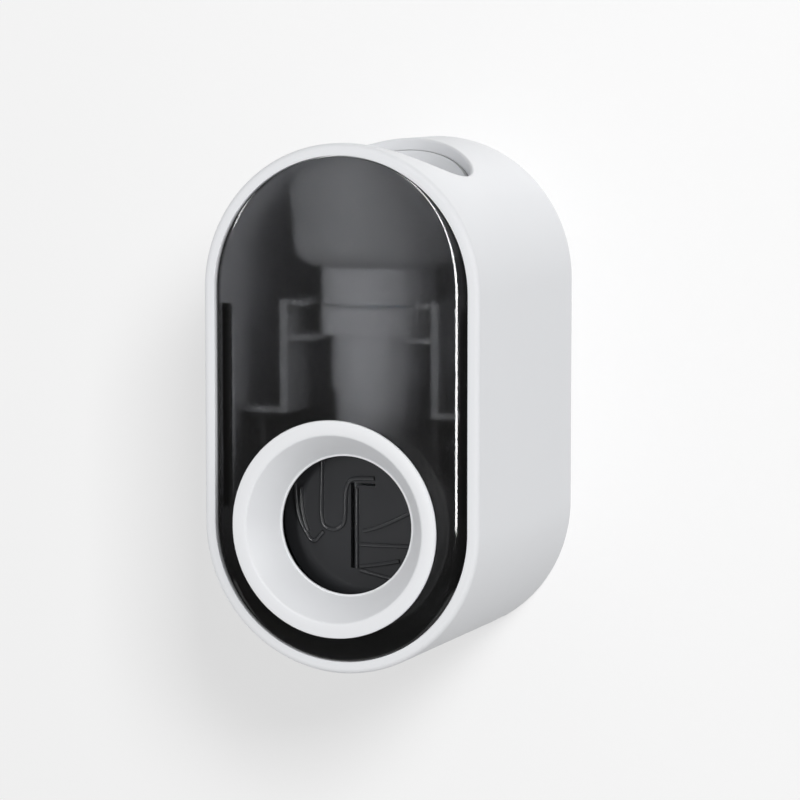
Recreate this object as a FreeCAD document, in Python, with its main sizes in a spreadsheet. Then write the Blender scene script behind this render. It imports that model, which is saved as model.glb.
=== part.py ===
import FreeCAD, Part
import math
import os
import Sketcher

# Wall-mounted toothpaste dispenser. Millimetres.
# The origin is the centre of the wall face: X runs to the right as seen from the front,
# Y runs into the wall, so the front looks along -Y, and Z is up.

doc = FreeCAD.newDocument("toothpaste_dispenser")
sheet = doc.addObject("Spreadsheet::Sheet", "sizes")
nodes = []

# Driving dimensions that stand alone
SIZES = {
    # Casing
    "case_width": 63.0,
    "case_height": 113.0,
    "case_depth": 60.8,
    "case_wall": 2.6,
    "case_back_wall": 2.5,
    "case_wall_gap": 0.5,
    "case_front_round": 1.2,
    "case_rear_round": 0.8,
    "tube_hole_round": 0.6,
    # Wall bracket, its channel and the adhesive pad
    "pad_inset": 1.0,
    "pad_thickness": 1.0,
    "pad_corner": 4.0,
    "bracket_height": 46.0,
    "bracket_undercut": 2.5,
    "bracket_thickness": 3.8,
    "bracket_gap": 0.25,
    "channel_wall": 3.0,
    # Front panel
    "panel_gap": 0.25,
    "panel_recess": 0.6,
    "panel_thickness": 1.8,
    "panel_bevel_width": 2.7,
    "panel_bevel_drop": 0.5,
    "skirt_thickness": 1.7,
    "skirt_depth": 1.4,
    "skirt_end_gap": 3.0,
    "skirt_inset": 0.6,
    "stop_thickness": 1.5,
    "stop_end_gap": 5.0,
    # Brush ring and its retainer
    "ring_proud": 3.7,
    "ring_lip_width": 3.2,
    "ring_lip_edge": 0.5,
    "ring_dish_depth": 7.5,
    "ring_land": 0.7,
    "ring_flare": 1.88,
    "ring_shoulder": 1.2,
    "ring_fit": 0.2,
    "retainer_thickness": 1.2,
    "retainer_reach": 2.6,
    "retainer_groove": 0.8,
    "retainer_split": 7.0,
    # Tube cup and neck
    "cup_hole_step": 0.6,
    "cup_front_gap": 0.6,
    "cup_taper": 1.7,
    "cup_wall": 1.2,
    "cup_floor": 1.6,
    "cup_corner": 4.5,
    "cup_hole_edge": 1.0,
    "neck_wall": 3.2,
    "seal_thickness": 0.7,
    # Pump
    "collar_wall": 1.3,
    "pump_wall": 0.9,
    "pump_flange_reach": 1.1,
    "pump_flange": 1.5,
    "pump_flange_drop": 0.2,
    "pump_ceiling": 2.0,
    "port_radius": 1.2,
    "port_circle_radius": 3.4,
    "valve_stem_radius": 1.0,
    "valve_disc_radius": 5.2,
    "valve_disc": 0.8,
    "valve_bulb_radius": 1.6,
    "valve_bulb": 1.2,
    # Plunger, seal, outlet valve and spring
    "plunger_play": 0.08,
    "plunger_stroke": 5.4,
    "plunger_top_gap": 0.4,
    "spring_pocket_wall": 1.02,
    "spring_pocket_depth": 3.2,
    "piston_groove_depth": 1.22,
    "piston_groove": 1.4,
    "piston_groove_drop": 1.0,
    "piston_seal_gap": 0.04,
    "outlet_radius": 2.0,
    "outlet_seat_step": 1.2,
    "outlet_seat": 1.4,
    "outlet_valve_length": 4.6,
    "lug_width": 5.0,
    "lug_height": 3.0,
    "lug_drop": 1.6,
    "spring_wire": 0.9,
    "spring_turns": 4.0,
    "spring_side_gap": 0.15,
    # Nozzle
    "nozzle_bore_radius": 1.3,
    "nozzle_wall": 0.9,
    "nozzle_rise": 2.6,
    "nozzle_tip_depth": 7.1,
    "nozzle_taper": 0.3,
    "nozzle_tip_drop": 3.6,
    "nozzle_socket": 3.2,
    # Push paddle and its pivot
    "paddle_overlap": 2.1,
    "paddle_depth": 9.6,
    "paddle_thickness": 2.2,
    "paddle_top_drop": 2.2,
    "paddle_top_half": 5.5,
    "pivot_depth": 12.0,
    "pivot_rise": 4.05,
    "pin_radius": 1.2,
    "pin_head_step": 0.9,
    "pin_head": 0.8,
    "pin_play": 0.06,
    "hub_wall": 1.4,
    "arm_gap": 0.78,
    "arm_width": 3.2,
    "arm_thickness": 1.9,
    "tip_radius": 1.0,
    "tip_play": 0.05,
    "paddle_slot_width": 1.1,
    "paddle_slot_left": 1.3,
    "paddle_slot_top": 8.5,
    "paddle_slot_length": 18.5,
    "paddle_slot_reach": 4.4,
    "rib_height": 0.7,
    "rib_width": 0.9,
    "rib_left": 7.8,
    "rib_gap": 5.5,
    "rib_bend_rise": 0.5,
    "rib_left_length": 13.0,
    "rib_right_length": 6.5,
    # Inner frame
    "frame_wall": 1.7,
    "frame_shelf": 1.1,
    "frame_flange": 1.2,
    "frame_above_pivot": 6.6,
    "frame_side_gap": 0.4,
    "frame_slot_gap": 0.35,
    "frame_back_plate": 1.6,
    "frame_ear_gap": 1.7,
    "frame_ear_rise": 1.5,
    "fit_gap": 0.1,
    # Splash guard
    "guard_wall": 1.3,
    "guard_front": 5.2,
    "guard_tab": 3.0,
    "guard_tab_gap": 1.9,
    "guard_boss_wall": 1.8,
    "guard_boss_gap": 0.4,
    # Screws and bosses
    "screw_radius": 1.25,
    "screw_head_step": 1.25,
    "screw_head": 1.5,
    "screw_hole_gap": 0.25,
    "screw_pilot_gap": 0.05,
    "frame_screw_length": 11.0,
    "frame_screw_rise": 4.0,
    "frame_screw_drop": 2.3,
    "frame_boss_wall": 2.35,
    "guard_screw_length": 3.8,
}

# Dimensions that follow the casing's width, given for a width of 63
BASE_WIDTH = 63.0
ACROSS = {
    "bracket_wide": 35.0,
    "tube_hole_radius": 19.6,
    "ring_radius": 23.28,
    "ring_bore_radius": 14.9,
    "neck_bore_radius": 9.2,
    "sleeve_bore_radius": 6.0,
    "inlet_radius": 6.5,
    "pump_bore_radius": 9.3,
    "pivot_above_ring": 17.4,
    "guard_half_width": 20.5,
    "guard_length": 28.8,
    "guard_tab_front": 13.0,
    "guard_tab_length": 19.0,
    "guard_screw_front": 17.0,
    "guard_screw_rear": 28.0,
    "frame_half_width": 18.3,
    "frame_front": 11.0,
    "frame_depth": 27.0,
}

# Dimensions that follow the casing's height, given for a height of 113
BASE_HEIGHT = 113.0
UPRIGHT = {
    "neck_length": 8.0,
    "collar_height": 6.2,
    "pump_length": 16.2,
    "pump_ceiling_drop": 4.0,
    "plunger_length": 18.6,
}


class Size:
    """A length that knows its value and the sheet expression behind it."""

    def __init__(self, value, text):
        self.value = value
        self.text = text

    def __add__(self, other):
        other = as_size(other)
        return Size(self.value + other.value, f"({self.text} + {other.text})")

    def __sub__(self, other):
        other = as_size(other)
        return Size(self.value - other.value, f"({self.text} - {other.text})")

    def __mul__(self, other):
        other = as_size(other)
        return Size(self.value * other.value, f"({self.text} * {other.text})")

    def __truediv__(self, other):
        other = as_size(other)
        return Size(self.value / other.value, f"({self.text} / {other.text})")

    def __neg__(self):
        return Size(-self.value, f"(0 - {self.text})")

    def __radd__(self, other):
        return as_size(other) + self

    def __rsub__(self, other):
        return as_size(other) - self

    __rmul__ = __mul__


def as_size(item):
    if isinstance(item, Size):
        return item
    return Size(float(item), f"({float(item)})")


def root(size):
    return Size(math.sqrt(size.value), f"sqrt({size.text})")


class Sizes:
    """The dimensions, one attribute and one aliased cell of the sheet for each."""

    def __init__(self):
        self.rows = 0

    def add(self, values, factor=None):
        for alias, value in values.items():
            self.rows += 1
            sheet.set(f"A{self.rows}", alias)
            sheet.set(f"B{self.rows}", str(value))
            sheet.setAlias(f"B{self.rows}", alias)
            size = Size(value, f"sizes.{alias}")
            setattr(self, alias, size * factor if factor else size)


dim = Sizes()
dim.add(SIZES)
dim.add(ACROSS, dim.case_width / BASE_WIDTH)
dim.add(UPRIGHT, dim.case_height / BASE_HEIGHT)
doc.recompute()


def bind(feature, name, size):
    feature.setExpression(name, as_size(size).text)


def place(feature, x=0.0, y=0.0, z=0.0):
    for axis, size in zip("xyz", (x, y, z)):
        bind(feature, f"Placement.Base.{axis}", size)


def new_body(label, y=0.0, z=0.0, faces_front=False):
    """Start a body; one that faces the front has its own Z along -Y."""
    body = doc.addObject("PartDesign::Body", label)
    body.Label = label
    if faces_front:
        turn = FreeCAD.Rotation(FreeCAD.Vector(1, 0, 0), 90)
        body.Placement = FreeCAD.Placement(FreeCAD.Vector(), turn)
    place(body, 0.0, y, z)
    return body


def keep(feature, label=None):
    """Count a finished object as a sub-part of the dispenser."""
    if label:
        feature.Label = label
    nodes.append(feature)
    return feature


def sketch_on(body, role, offset=0.0):
    sketch = body.newObject("Sketcher::SketchObject", "outline")
    plane = [item for item in body.Origin.OriginFeatures if item.Role == role][0]
    sketch.AttachmentSupport = (plane, [""])
    sketch.MapMode = "FlatFace"
    bind(sketch, "AttachmentOffset.Base.z", offset)
    return sketch


def fix(sketch, kind, geometry, point, size):
    """Dimension a sketch point from the sketch's origin."""
    index = sketch.addConstraint(Sketcher.Constraint(kind, -1, 1, geometry, point, size.value))
    bind(sketch, f"Constraints[{index}]", size)


def flat(x, y):
    return FreeCAD.Vector(as_size(x).value, as_size(y).value, 0.0)


def outline(sketch, *points):
    """Draw a closed outline; a point with a centre and a turn starts an arc (1 left, -1 right)."""
    corners = [(as_size(item[0]), as_size(item[1])) for item in points]
    starts = []
    ends = []
    for number, item in enumerate(points):
        here = flat(*corners[number])
        there = flat(*corners[(number + 1) % len(points)])
        if len(item) == 2:
            geometry = sketch.addGeometry(Part.LineSegment(here, there))
            starts.append((geometry, 1))
            ends.append((geometry, 2))
            continue
        centre_x, centre_y, turn = as_size(item[2]), as_size(item[3]), item[4]
        centre = flat(centre_x, centre_y)
        first, last = (here, there) if turn > 0 else (there, here)
        angles = [math.atan2(p.y - centre.y, p.x - centre.x) for p in (first, last)]
        ring = Part.Circle(centre, FreeCAD.Vector(0, 0, 1), (first - centre).Length)
        geometry = sketch.addGeometry(Part.ArcOfCircle(ring, angles[0], angles[1]))
        starts.append((geometry, 1 if turn > 0 else 2))
        ends.append((geometry, 2 if turn > 0 else 1))
        chord = there - here
        if abs(chord.x) > abs(chord.y):
            fix(sketch, "DistanceY", geometry, 3, centre_y)
        else:
            fix(sketch, "DistanceX", geometry, 3, centre_x)
    for number, (x, y) in enumerate(corners):
        sketch.addConstraint(Sketcher.Constraint("Coincident", *ends[number - 1], *starts[number]))
        fix(sketch, "DistanceX", *starts[number], x)
        fix(sketch, "DistanceY", *starts[number], y)


def rectangle(sketch, x_low, x_high, y_low, y_high):
    outline(sketch, (x_low, y_low), (x_high, y_low), (x_high, y_high), (x_low, y_high))


def stadium(sketch, radius, half_span):
    outline(
        sketch,
        (radius, half_span, 0.0, half_span, 1),
        (-radius, half_span),
        (-radius, -half_span, 0.0, -half_span, 1),
        (radius, -half_span),
    )


def circle(sketch, x, y, radius):
    ring = Part.Circle(flat(x, y), FreeCAD.Vector(0, 0, 1), as_size(radius).value)
    geometry = sketch.addGeometry(ring)
    index = sketch.addConstraint(Sketcher.Constraint("Radius", geometry, as_size(radius).value))
    bind(sketch, f"Constraints[{index}]", radius)
    fix(sketch, "DistanceX", geometry, 3, as_size(x))
    fix(sketch, "DistanceY", geometry, 3, as_size(y))


def sweep_feature(body, kind, sketch, length):
    feature = body.newObject(f"PartDesign::{kind}", kind.lower())
    feature.Profile = sketch
    bind(feature, "Length", length)
    return feature


def pad(body, sketch, length):
    return sweep_feature(body, "Pad", sketch, length)


def pocket(body, sketch, length):
    """Cut along the sketch's back side and make sure that something was removed."""
    doc.recompute()
    before = body.Shape.Volume
    feature = sweep_feature(body, "Pocket", sketch, length)
    doc.recompute()
    if body.Shape.Volume >= before:
        raise ValueError(f"a pocket of {body.Label} cuts nothing")
    return feature


def turned(body, *points):
    """Turn an outline of radius and height about the body's own Z axis."""
    sketch = sketch_on(body, "XZ_Plane")
    outline(sketch, *points)
    feature = body.newObject("PartDesign::Revolution", "turned")
    feature.Profile = sketch
    feature.ReferenceAxis = (sketch, ["V_Axis"])
    feature.Angle = 360.0
    return feature


def block(body, kind, x_low, x_high, y_low, y_high, z_low, z_high):
    feature = body.newObject(f"PartDesign::{kind}Box", "block")
    bind(feature, "Length", as_size(x_high) - x_low)
    bind(feature, "Width", as_size(y_high) - y_low)
    bind(feature, "Height", as_size(z_high) - z_low)
    place(feature, x_low, y_low, z_low)
    return feature


ALONG = {
    "x": FreeCAD.Rotation(FreeCAD.Vector(0, 1, 0), 90),
    "y": FreeCAD.Rotation(FreeCAD.Vector(1, 0, 0), -90),
    "z": FreeCAD.Rotation(),
}


def round_bar(owner, kind, axis, start, radius, length):
    """A cylinder from a start point along an axis, alone or as a body's feature."""
    if kind == "Part":
        feature = doc.addObject("Part::Cylinder", "bar")
    else:
        feature = owner.newObject(f"PartDesign::{kind}Cylinder", "bar")
    feature.Placement = FreeCAD.Placement(FreeCAD.Vector(), ALONG[axis])
    bind(feature, "Radius", radius)
    bind(feature, "Height", length)
    place(feature, *start)
    return feature


def side_span(side, inner, outer):
    """The low and high X of a piece that is mirrored about the middle plane."""
    return (inner, outer) if side > 0 else (-outer, -inner)


def edges_where(shape, test):
    """Names of the edges all of whose sampled points pass a test."""
    names = []
    for number, edge in enumerate(shape.Edges, start=1):
        samples = edge.discretize(5)
        if all(test(point) for point in samples):
            names.append(f"Edge{number}")
    return names


def rounded(body, test, radius):
    doc.recompute()
    base = body.Tip
    feature = body.newObject("PartDesign::Fillet", "rounded")
    feature.Base = (base, edges_where(base.Shape, test))
    bind(feature, "Radius", radius)
    doc.recompute()
    return feature


NEAR = 1e-3
SIDES = (1, -1)

# Shared places, all worked out from the driving dimensions
case_radius = dim.case_width / 2
case_inner = case_radius - dim.case_wall
arc_height = (dim.case_height - dim.case_width) / 2
front_y = -(dim.case_wall_gap + dim.case_depth)
inner_back_y = -(dim.case_wall_gap + dim.case_back_wall)
ring_z = -arc_height


def depth(behind_rim):
    """The Y of a plane this far behind the casing's front rim."""
    return front_y + behind_rim


# Front panel and brush ring
panel_radius = case_inner - dim.panel_gap
panel_back = dim.panel_recess + dim.panel_thickness
skirt_outer = panel_radius - dim.skirt_inset
skirt_inner = skirt_outer - dim.skirt_thickness
skirt_end = panel_back + dim.skirt_depth
ring_seat = dim.ring_radius - dim.ring_flare
ring_neck = ring_seat - dim.ring_shoulder
groove_radius = ring_neck - dim.retainer_groove

# Tube cup, from the panel back
cup_top_radius = dim.tube_hole_radius - dim.cup_hole_step
cup_base_radius = cup_top_radius - dim.cup_taper
tube_axis = panel_back + dim.cup_front_gap + cup_top_radius + dim.cup_wall
tube_y = depth(tube_axis)
neck_radius = dim.neck_bore_radius + dim.neck_wall

# Radii of the pump
pump_radius = dim.pump_bore_radius + dim.pump_wall
pump_flange_radius = pump_radius + dim.pump_flange_reach
collar_bore = pump_flange_radius + dim.fit_gap
collar_radius = collar_bore + dim.collar_wall
plunger_radius = dim.pump_bore_radius - dim.plunger_play
piston_groove_radius = plunger_radius - dim.piston_groove_depth
spring_pocket_radius = plunger_radius - dim.spring_pocket_wall
nozzle_radius = dim.nozzle_bore_radius + dim.nozzle_wall

# Heights, from the ring's middle up through paddle, plunger, pump and cup
pivot_z = ring_z + dim.pivot_above_ring
pivot_y = depth(dim.pivot_depth)
tip_z = pivot_z - dim.pivot_rise
lug_bottom = tip_z + dim.tip_radius + dim.tip_play
stem_bottom = lug_bottom + dim.lug_drop
nozzle_z = stem_bottom + dim.nozzle_rise
plunger_top = stem_bottom + dim.plunger_length
pocket_floor = plunger_top - dim.spring_pocket_depth
groove_top = pocket_floor - dim.piston_groove_drop
groove_bottom = groove_top - dim.piston_groove
ceiling = plunger_top + dim.plunger_stroke + dim.plunger_top_gap
ceiling_top = ceiling + dim.pump_ceiling
flange_bottom = ceiling + dim.pump_ceiling_drop
flange_top = flange_bottom + dim.pump_flange
pump_bottom = flange_bottom - dim.pump_length
collar_top = flange_top + dim.pump_flange_drop
collar_bottom = collar_top - dim.collar_height
neck_bottom = flange_top + dim.seal_thickness
cup_bottom = neck_bottom + dim.neck_length
cup_floor_top = cup_bottom + dim.cup_floor

# Paddle arms, frame and guard
hub_radius = dim.pin_radius + dim.hub_wall
arm_inner = plunger_radius + dim.arm_gap
arm_outer = arm_inner + dim.arm_width
paddle_radius = dim.ring_bore_radius + dim.paddle_overlap
paddle_back = dim.paddle_depth + dim.paddle_thickness
shelf_top = collar_bottom - dim.fit_gap
shelf_bottom = shelf_top - dim.frame_shelf
top_shelf_bottom = collar_top + dim.fit_gap
frame_top = top_shelf_bottom + dim.frame_shelf
frame_base = pivot_z + dim.frame_above_pivot
flange_under = frame_base - dim.frame_flange
frame_rear = dim.frame_front + dim.frame_depth
frame_end = frame_rear + dim.frame_back_plate
guard_inner = dim.guard_half_width - dim.guard_wall
guard_middle = dim.guard_half_width - dim.guard_wall / 2
guard_rear = dim.guard_front + dim.guard_length
guard_boss_start = arm_outer + dim.guard_boss_gap

# Wall channel and screws
bracket_half = dim.bracket_wide / 2
bracket_narrow = bracket_half - dim.bracket_undercut
channel_top = dim.bracket_height / 2 + dim.bracket_gap
channel_depth = dim.pad_thickness + dim.bracket_thickness + dim.bracket_gap
screw_offset = (dim.frame_half_width + case_inner) / 2
screw_head_radius = dim.screw_radius + dim.screw_head_step
screw_pilot = dim.screw_radius + dim.screw_pilot_gap
screw_hole = dim.screw_radius + dim.screw_hole_gap
frame_screw_spots = [
    (side * screw_offset, height)
    for side in SIDES
    for height in (frame_base + dim.frame_screw_rise, shelf_top - dim.frame_screw_drop)
]
guard_screw_spots = [
    (side * screw_offset, depth(behind))
    for side in SIDES
    for behind in (dim.guard_screw_front, dim.guard_screw_rear)
]


def make_casing():
    """Stadium shell, open at the front, with the tube hole, screw bosses and the bracket channel."""
    body = new_body("casing")
    outer = sketch_on(body, "XZ_Plane", dim.case_wall_gap)
    stadium(outer, case_radius, arc_height)
    pad(body, outer, dim.case_depth)
    rounded(body, lambda p: abs(p.y - front_y.value) < NEAR, dim.case_front_round)
    rounded(body, lambda p: abs(p.y + dim.case_wall_gap.value) < NEAR, dim.case_rear_round)
    inner = sketch_on(body, "XZ_Plane", -front_y)
    stadium(inner, case_inner, arc_height)
    pocket(body, inner, dim.case_depth - dim.case_back_wall)
    make_bracket_channel(body)
    for x, z in frame_screw_spots:
        boss_length = inner_back_y - depth(frame_end)
        boss = dim.screw_radius + dim.frame_boss_wall
        round_bar(body, "Additive", "y", (x, depth(frame_end), z), boss, boss_length)
        round_bar(body, "Subtractive", "y", (x, depth(frame_end), z), screw_pilot, dim.frame_screw_length)
    for side in SIDES:
        low, high = side_span(side, skirt_inner, case_inner + dim.case_wall / 2)
        front = depth(skirt_end + dim.fit_gap)
        half = arc_height - dim.stop_end_gap
        block(body, "Additive", low, high, front, front + dim.stop_thickness, -half, half)
    hole_length = case_radius + dim.case_wall
    round_bar(body, "Subtractive", "z", (0.0, tube_y, arc_height), dim.tube_hole_radius, hole_length)

    def on_hole_rim(point):
        from_tube = math.hypot(point.x, point.y - tube_y.value)
        from_arc = math.hypot(point.x, point.z - arc_height.value)
        on_hole = abs(from_tube - dim.tube_hole_radius.value) < NEAR
        return on_hole and abs(from_arc - case_radius.value) < NEAR

    rounded(body, on_hole_rim, dim.tube_hole_round)
    return keep(body)


def make_bracket_channel(body):
    """Thicken the back wall and cut the dovetail channel, open at the bottom."""
    half = bracket_half + dim.bracket_gap + dim.channel_wall
    reach = case_inner + dim.case_wall / 2
    corner = arc_height + root(reach * reach - half * half)
    top = channel_top + dim.channel_wall
    housing = sketch_on(body, "XZ_Plane", dim.case_wall_gap + dim.case_back_wall / 2)
    outline(
        housing,
        (-half, top),
        (-half, -corner, 0.0, -arc_height, 1),
        (half, -corner),
        (half, top),
    )
    pad(body, housing, channel_depth + dim.channel_wall - dim.case_back_wall / 2)
    narrow = bracket_narrow + dim.bracket_gap
    wide = bracket_half + dim.bracket_gap
    cut = sketch_on(body, "XY_Plane", channel_top)
    outline(
        cut,
        (narrow, 0.0),
        (-narrow, 0.0),
        (-narrow, -dim.pad_thickness),
        (-wide, -channel_depth),
        (wide, -channel_depth),
        (narrow, -dim.pad_thickness),
    )
    pocket(body, cut, channel_top + dim.case_height / 2 + dim.case_wall)


def make_wall_bracket():
    """Dovetail tongue that stays on the wall."""
    body = new_body("wall_bracket")
    tongue = sketch_on(body, "XY_Plane", -dim.bracket_height / 2)
    face = dim.pad_thickness + dim.bracket_thickness
    outline(
        tongue,
        (bracket_narrow, -dim.pad_thickness),
        (-bracket_narrow, -dim.pad_thickness),
        (-bracket_half, -face),
        (bracket_half, -face),
    )
    pad(body, tongue, dim.bracket_height)
    return keep(body)


def make_adhesive_pad():
    body = new_body("adhesive_pad")
    sheet_outline = sketch_on(body, "XZ_Plane")
    half_width = bracket_narrow - dim.pad_inset
    half_height = dim.bracket_height / 2 - dim.pad_inset
    rectangle(sheet_outline, -half_width, half_width, -half_height, half_height)
    pad(body, sheet_outline, dim.pad_thickness)

    def at_corner(point):
        beside = abs(abs(point.x) - half_width.value) < NEAR
        return beside and abs(abs(point.z) - half_height.value) < NEAR

    rounded(body, at_corner, dim.pad_corner)
    return keep(body)


def make_front_panel():
    """Bevelled see-through plate with a skirt along each straight side."""
    body = new_body("front_panel")
    plate = sketch_on(body, "XZ_Plane", -depth(panel_back))
    stadium(plate, panel_radius, arc_height)
    pad(body, plate, dim.panel_thickness)
    doc.recompute()
    base = body.Tip
    face_y = depth(dim.panel_recess).value
    bevel = body.newObject("PartDesign::Chamfer", "bevel")
    bevel.Base = (base, edges_where(base.Shape, lambda p: abs(p.y - face_y) < NEAR))
    bevel.ChamferType = "Two distances"
    bind(bevel, "Size", dim.panel_bevel_drop)
    bind(bevel, "Size2", dim.panel_bevel_width)
    for side in SIDES:
        low, high = side_span(side, skirt_inner, skirt_outer)
        half = arc_height - dim.skirt_end_gap
        block(body, "Additive", low, high, depth(panel_back), depth(skirt_end), -half, half)
    hole = ring_neck + dim.ring_fit
    start = (0.0, depth(dim.panel_recess), ring_z)
    round_bar(body, "Subtractive", "y", start, hole, dim.panel_thickness)
    return keep(body)


def make_brush_ring():
    """Dished ring: flat lip, cone down to the bore, neck through the panel and a retainer groove."""
    body = new_body("brush_ring", front_y, ring_z, faces_front=True)
    bore_plane = dim.ring_proud - dim.ring_dish_depth
    back = bore_plane - dim.ring_land
    groove_front = -panel_back
    groove_back = groove_front - dim.retainer_thickness - dim.fit_gap
    turned(
        body,
        (dim.ring_bore_radius, back),
        (ring_neck, back),
        (ring_neck, groove_back),
        (groove_radius, groove_back),
        (groove_radius, groove_front),
        (ring_neck, groove_front),
        (ring_neck, -dim.panel_recess),
        (ring_seat, -dim.panel_recess),
        (dim.ring_radius, dim.ring_proud - dim.ring_lip_edge),
        (dim.ring_radius, dim.ring_proud),
        (dim.ring_radius - dim.ring_lip_width, dim.ring_proud),
        (dim.ring_bore_radius, bore_plane),
    )
    return keep(body)


def make_ring_retainer():
    """Split ring that snaps into the brush ring's groove behind the panel."""
    body = new_body("ring_retainer", front_y, ring_z, faces_front=True)
    inner = groove_radius + dim.fit_gap
    outer = inner + dim.retainer_reach
    front = -panel_back - dim.fit_gap / 2
    back = front - dim.retainer_thickness
    turned(body, (inner, back), (outer, back), (outer, front), (inner, front))
    half = dim.retainer_split / 2
    block(body, "Subtractive", -half, half, -outer - half, -inner / 2, back - half, front + half)
    return keep(body)


def make_tube_cup():
    """Bowl that follows the casing's arch, with a round hole in its floor."""
    body = new_body("cup_blank", tube_y)
    rim = arc_height + case_inner
    base_outer = cup_base_radius + dim.cup_wall
    inner_corner = dim.cup_corner - dim.cup_wall
    flat_end = base_outer - dim.cup_corner
    floor_hole = dim.sleeve_bore_radius + dim.cup_hole_edge
    turned(
        body,
        (floor_hole, cup_bottom),
        (flat_end, cup_bottom, flat_end, cup_bottom + dim.cup_corner, 1),
        (base_outer, cup_bottom + dim.cup_corner),
        (cup_top_radius + dim.cup_wall, rim),
        (cup_top_radius, rim),
        (
            cup_base_radius,
            cup_floor_top + inner_corner,
            cup_base_radius - inner_corner,
            cup_floor_top + inner_corner,
            -1,
        ),
        (cup_base_radius - inner_corner, cup_floor_top),
        (floor_hole, cup_floor_top),
    )
    arch_radius = case_inner - dim.fit_gap
    arch = round_bar(None, "Part", "y", (0.0, front_y, arc_height), arch_radius, dim.case_depth)
    cup = doc.addObject("Part::Common", "tube_cup")
    cup.Base = body
    cup.Tool = arch
    return keep(cup, "tube_cup")


def make_neck_socket():
    """Thick ring under the cup's floor that houses the sleeve."""
    body = new_body("neck_socket", tube_y)
    turned(
        body,
        (dim.neck_bore_radius, neck_bottom),
        (neck_radius, neck_bottom),
        (neck_radius, cup_bottom),
        (dim.neck_bore_radius, cup_bottom),
    )
    return keep(body)


def make_neck_sleeve():
    """Soft sleeve that grips the tube's neck, caught between the cup's floor and the seal."""
    body = new_body("neck_sleeve", tube_y)
    outer = dim.neck_bore_radius - dim.fit_gap
    turned(
        body,
        (dim.sleeve_bore_radius, neck_bottom),
        (outer, neck_bottom),
        (outer, cup_bottom),
        (dim.sleeve_bore_radius, cup_bottom),
    )
    return keep(body)


def make_neck_seal():
    body = new_body("neck_seal", tube_y)
    turned(
        body,
        (dim.inlet_radius, flange_top),
        (pump_flange_radius, flange_top),
        (pump_flange_radius, neck_bottom),
        (dim.inlet_radius, neck_bottom),
    )
    return keep(body)


def make_pump_collar():
    """Ring that hangs the pump between the frame's two shelves."""
    body = new_body("pump_collar", tube_y)
    bore = pump_radius + dim.fit_gap
    turned(
        body,
        (bore, collar_bottom),
        (collar_radius, collar_bottom),
        (collar_radius, collar_top),
        (collar_bore, collar_top),
        (collar_bore, flange_bottom),
        (bore, flange_bottom),
    )
    return keep(body)


def make_pump_body():
    body = new_body("pump_body", tube_y)
    stem_hole = dim.valve_stem_radius + dim.fit_gap
    turned(
        body,
        (dim.pump_bore_radius, pump_bottom),
        (pump_radius, pump_bottom),
        (pump_radius, flange_bottom),
        (pump_flange_radius, flange_bottom),
        (pump_flange_radius, flange_top),
        (dim.inlet_radius, flange_top),
        (dim.inlet_radius, ceiling_top),
        (stem_hole, ceiling_top),
        (stem_hole, ceiling),
        (dim.pump_bore_radius, ceiling),
    )
    out = dim.port_circle_radius
    for x, y in ((out, 0.0), (-out, 0.0), (0.0, out), (0.0, -out)):
        round_bar(body, "Subtractive", "z", (x, y, ceiling), dim.port_radius, dim.pump_ceiling)
    return keep(body)


def make_inlet_valve():
    """Umbrella valve: a soft disc under the ceiling, held by a bulb above it."""
    body = new_body("inlet_valve", tube_y)
    disc_top = ceiling - dim.fit_gap
    disc_bottom = disc_top - dim.valve_disc
    bulb_bottom = ceiling_top + dim.fit_gap
    turned(
        body,
        (0.0, disc_bottom),
        (dim.valve_disc_radius, disc_bottom),
        (dim.valve_disc_radius, disc_top),
        (dim.valve_stem_radius, disc_top),
        (dim.valve_stem_radius, bulb_bottom),
        (dim.valve_bulb_radius, bulb_bottom),
        (dim.valve_bulb_radius / 2, bulb_bottom + dim.valve_bulb),
        (0.0, bulb_bottom + dim.valve_bulb),
    )
    return keep(body)


def make_plunger():
    """Hollow piston with a spring pocket, a blind outlet, a nozzle socket and two lifting lugs."""
    body = new_body("plunger", tube_y)
    seat = pocket_floor - dim.outlet_seat
    seat_radius = dim.outlet_radius + dim.outlet_seat_step
    turned(
        body,
        (0.0, stem_bottom),
        (plunger_radius, stem_bottom),
        (plunger_radius, groove_bottom),
        (piston_groove_radius, groove_bottom),
        (piston_groove_radius, groove_top),
        (plunger_radius, groove_top),
        (plunger_radius, plunger_top),
        (spring_pocket_radius, plunger_top),
        (spring_pocket_radius, pocket_floor),
        (seat_radius, pocket_floor),
        (seat_radius, seat),
        (dim.outlet_radius, seat),
        (dim.outlet_radius, nozzle_z),
        (0.0, nozzle_z),
    )
    half = dim.lug_width / 2
    for side in SIDES:
        low, high = side_span(side, plunger_radius / 2, arm_outer - dim.fit_gap)
        block(body, "Additive", low, high, -half, half, lug_bottom, lug_bottom + dim.lug_height)
    socket = nozzle_radius + dim.fit_gap / 2
    front = -plunger_radius - dim.lug_drop
    round_bar(body, "Subtractive", "y", (0.0, front, nozzle_z), socket, dim.lug_drop + dim.nozzle_socket)
    channel_start = -plunger_radius + dim.nozzle_socket / 2
    channel_length = plunger_radius - dim.nozzle_socket / 2
    start = (0.0, channel_start, nozzle_z)
    round_bar(body, "Subtractive", "y", start, dim.nozzle_bore_radius, channel_length)
    return keep(body)


def make_piston_seal():
    body = new_body("piston_seal", tube_y)
    inner = piston_groove_radius + dim.fit_gap / 2
    outer = dim.pump_bore_radius - dim.piston_seal_gap
    low = groove_bottom + dim.fit_gap / 2
    high = groove_top - dim.fit_gap / 2
    turned(body, (inner, low), (outer, low), (outer, high), (inner, high))
    return keep(body)


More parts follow.
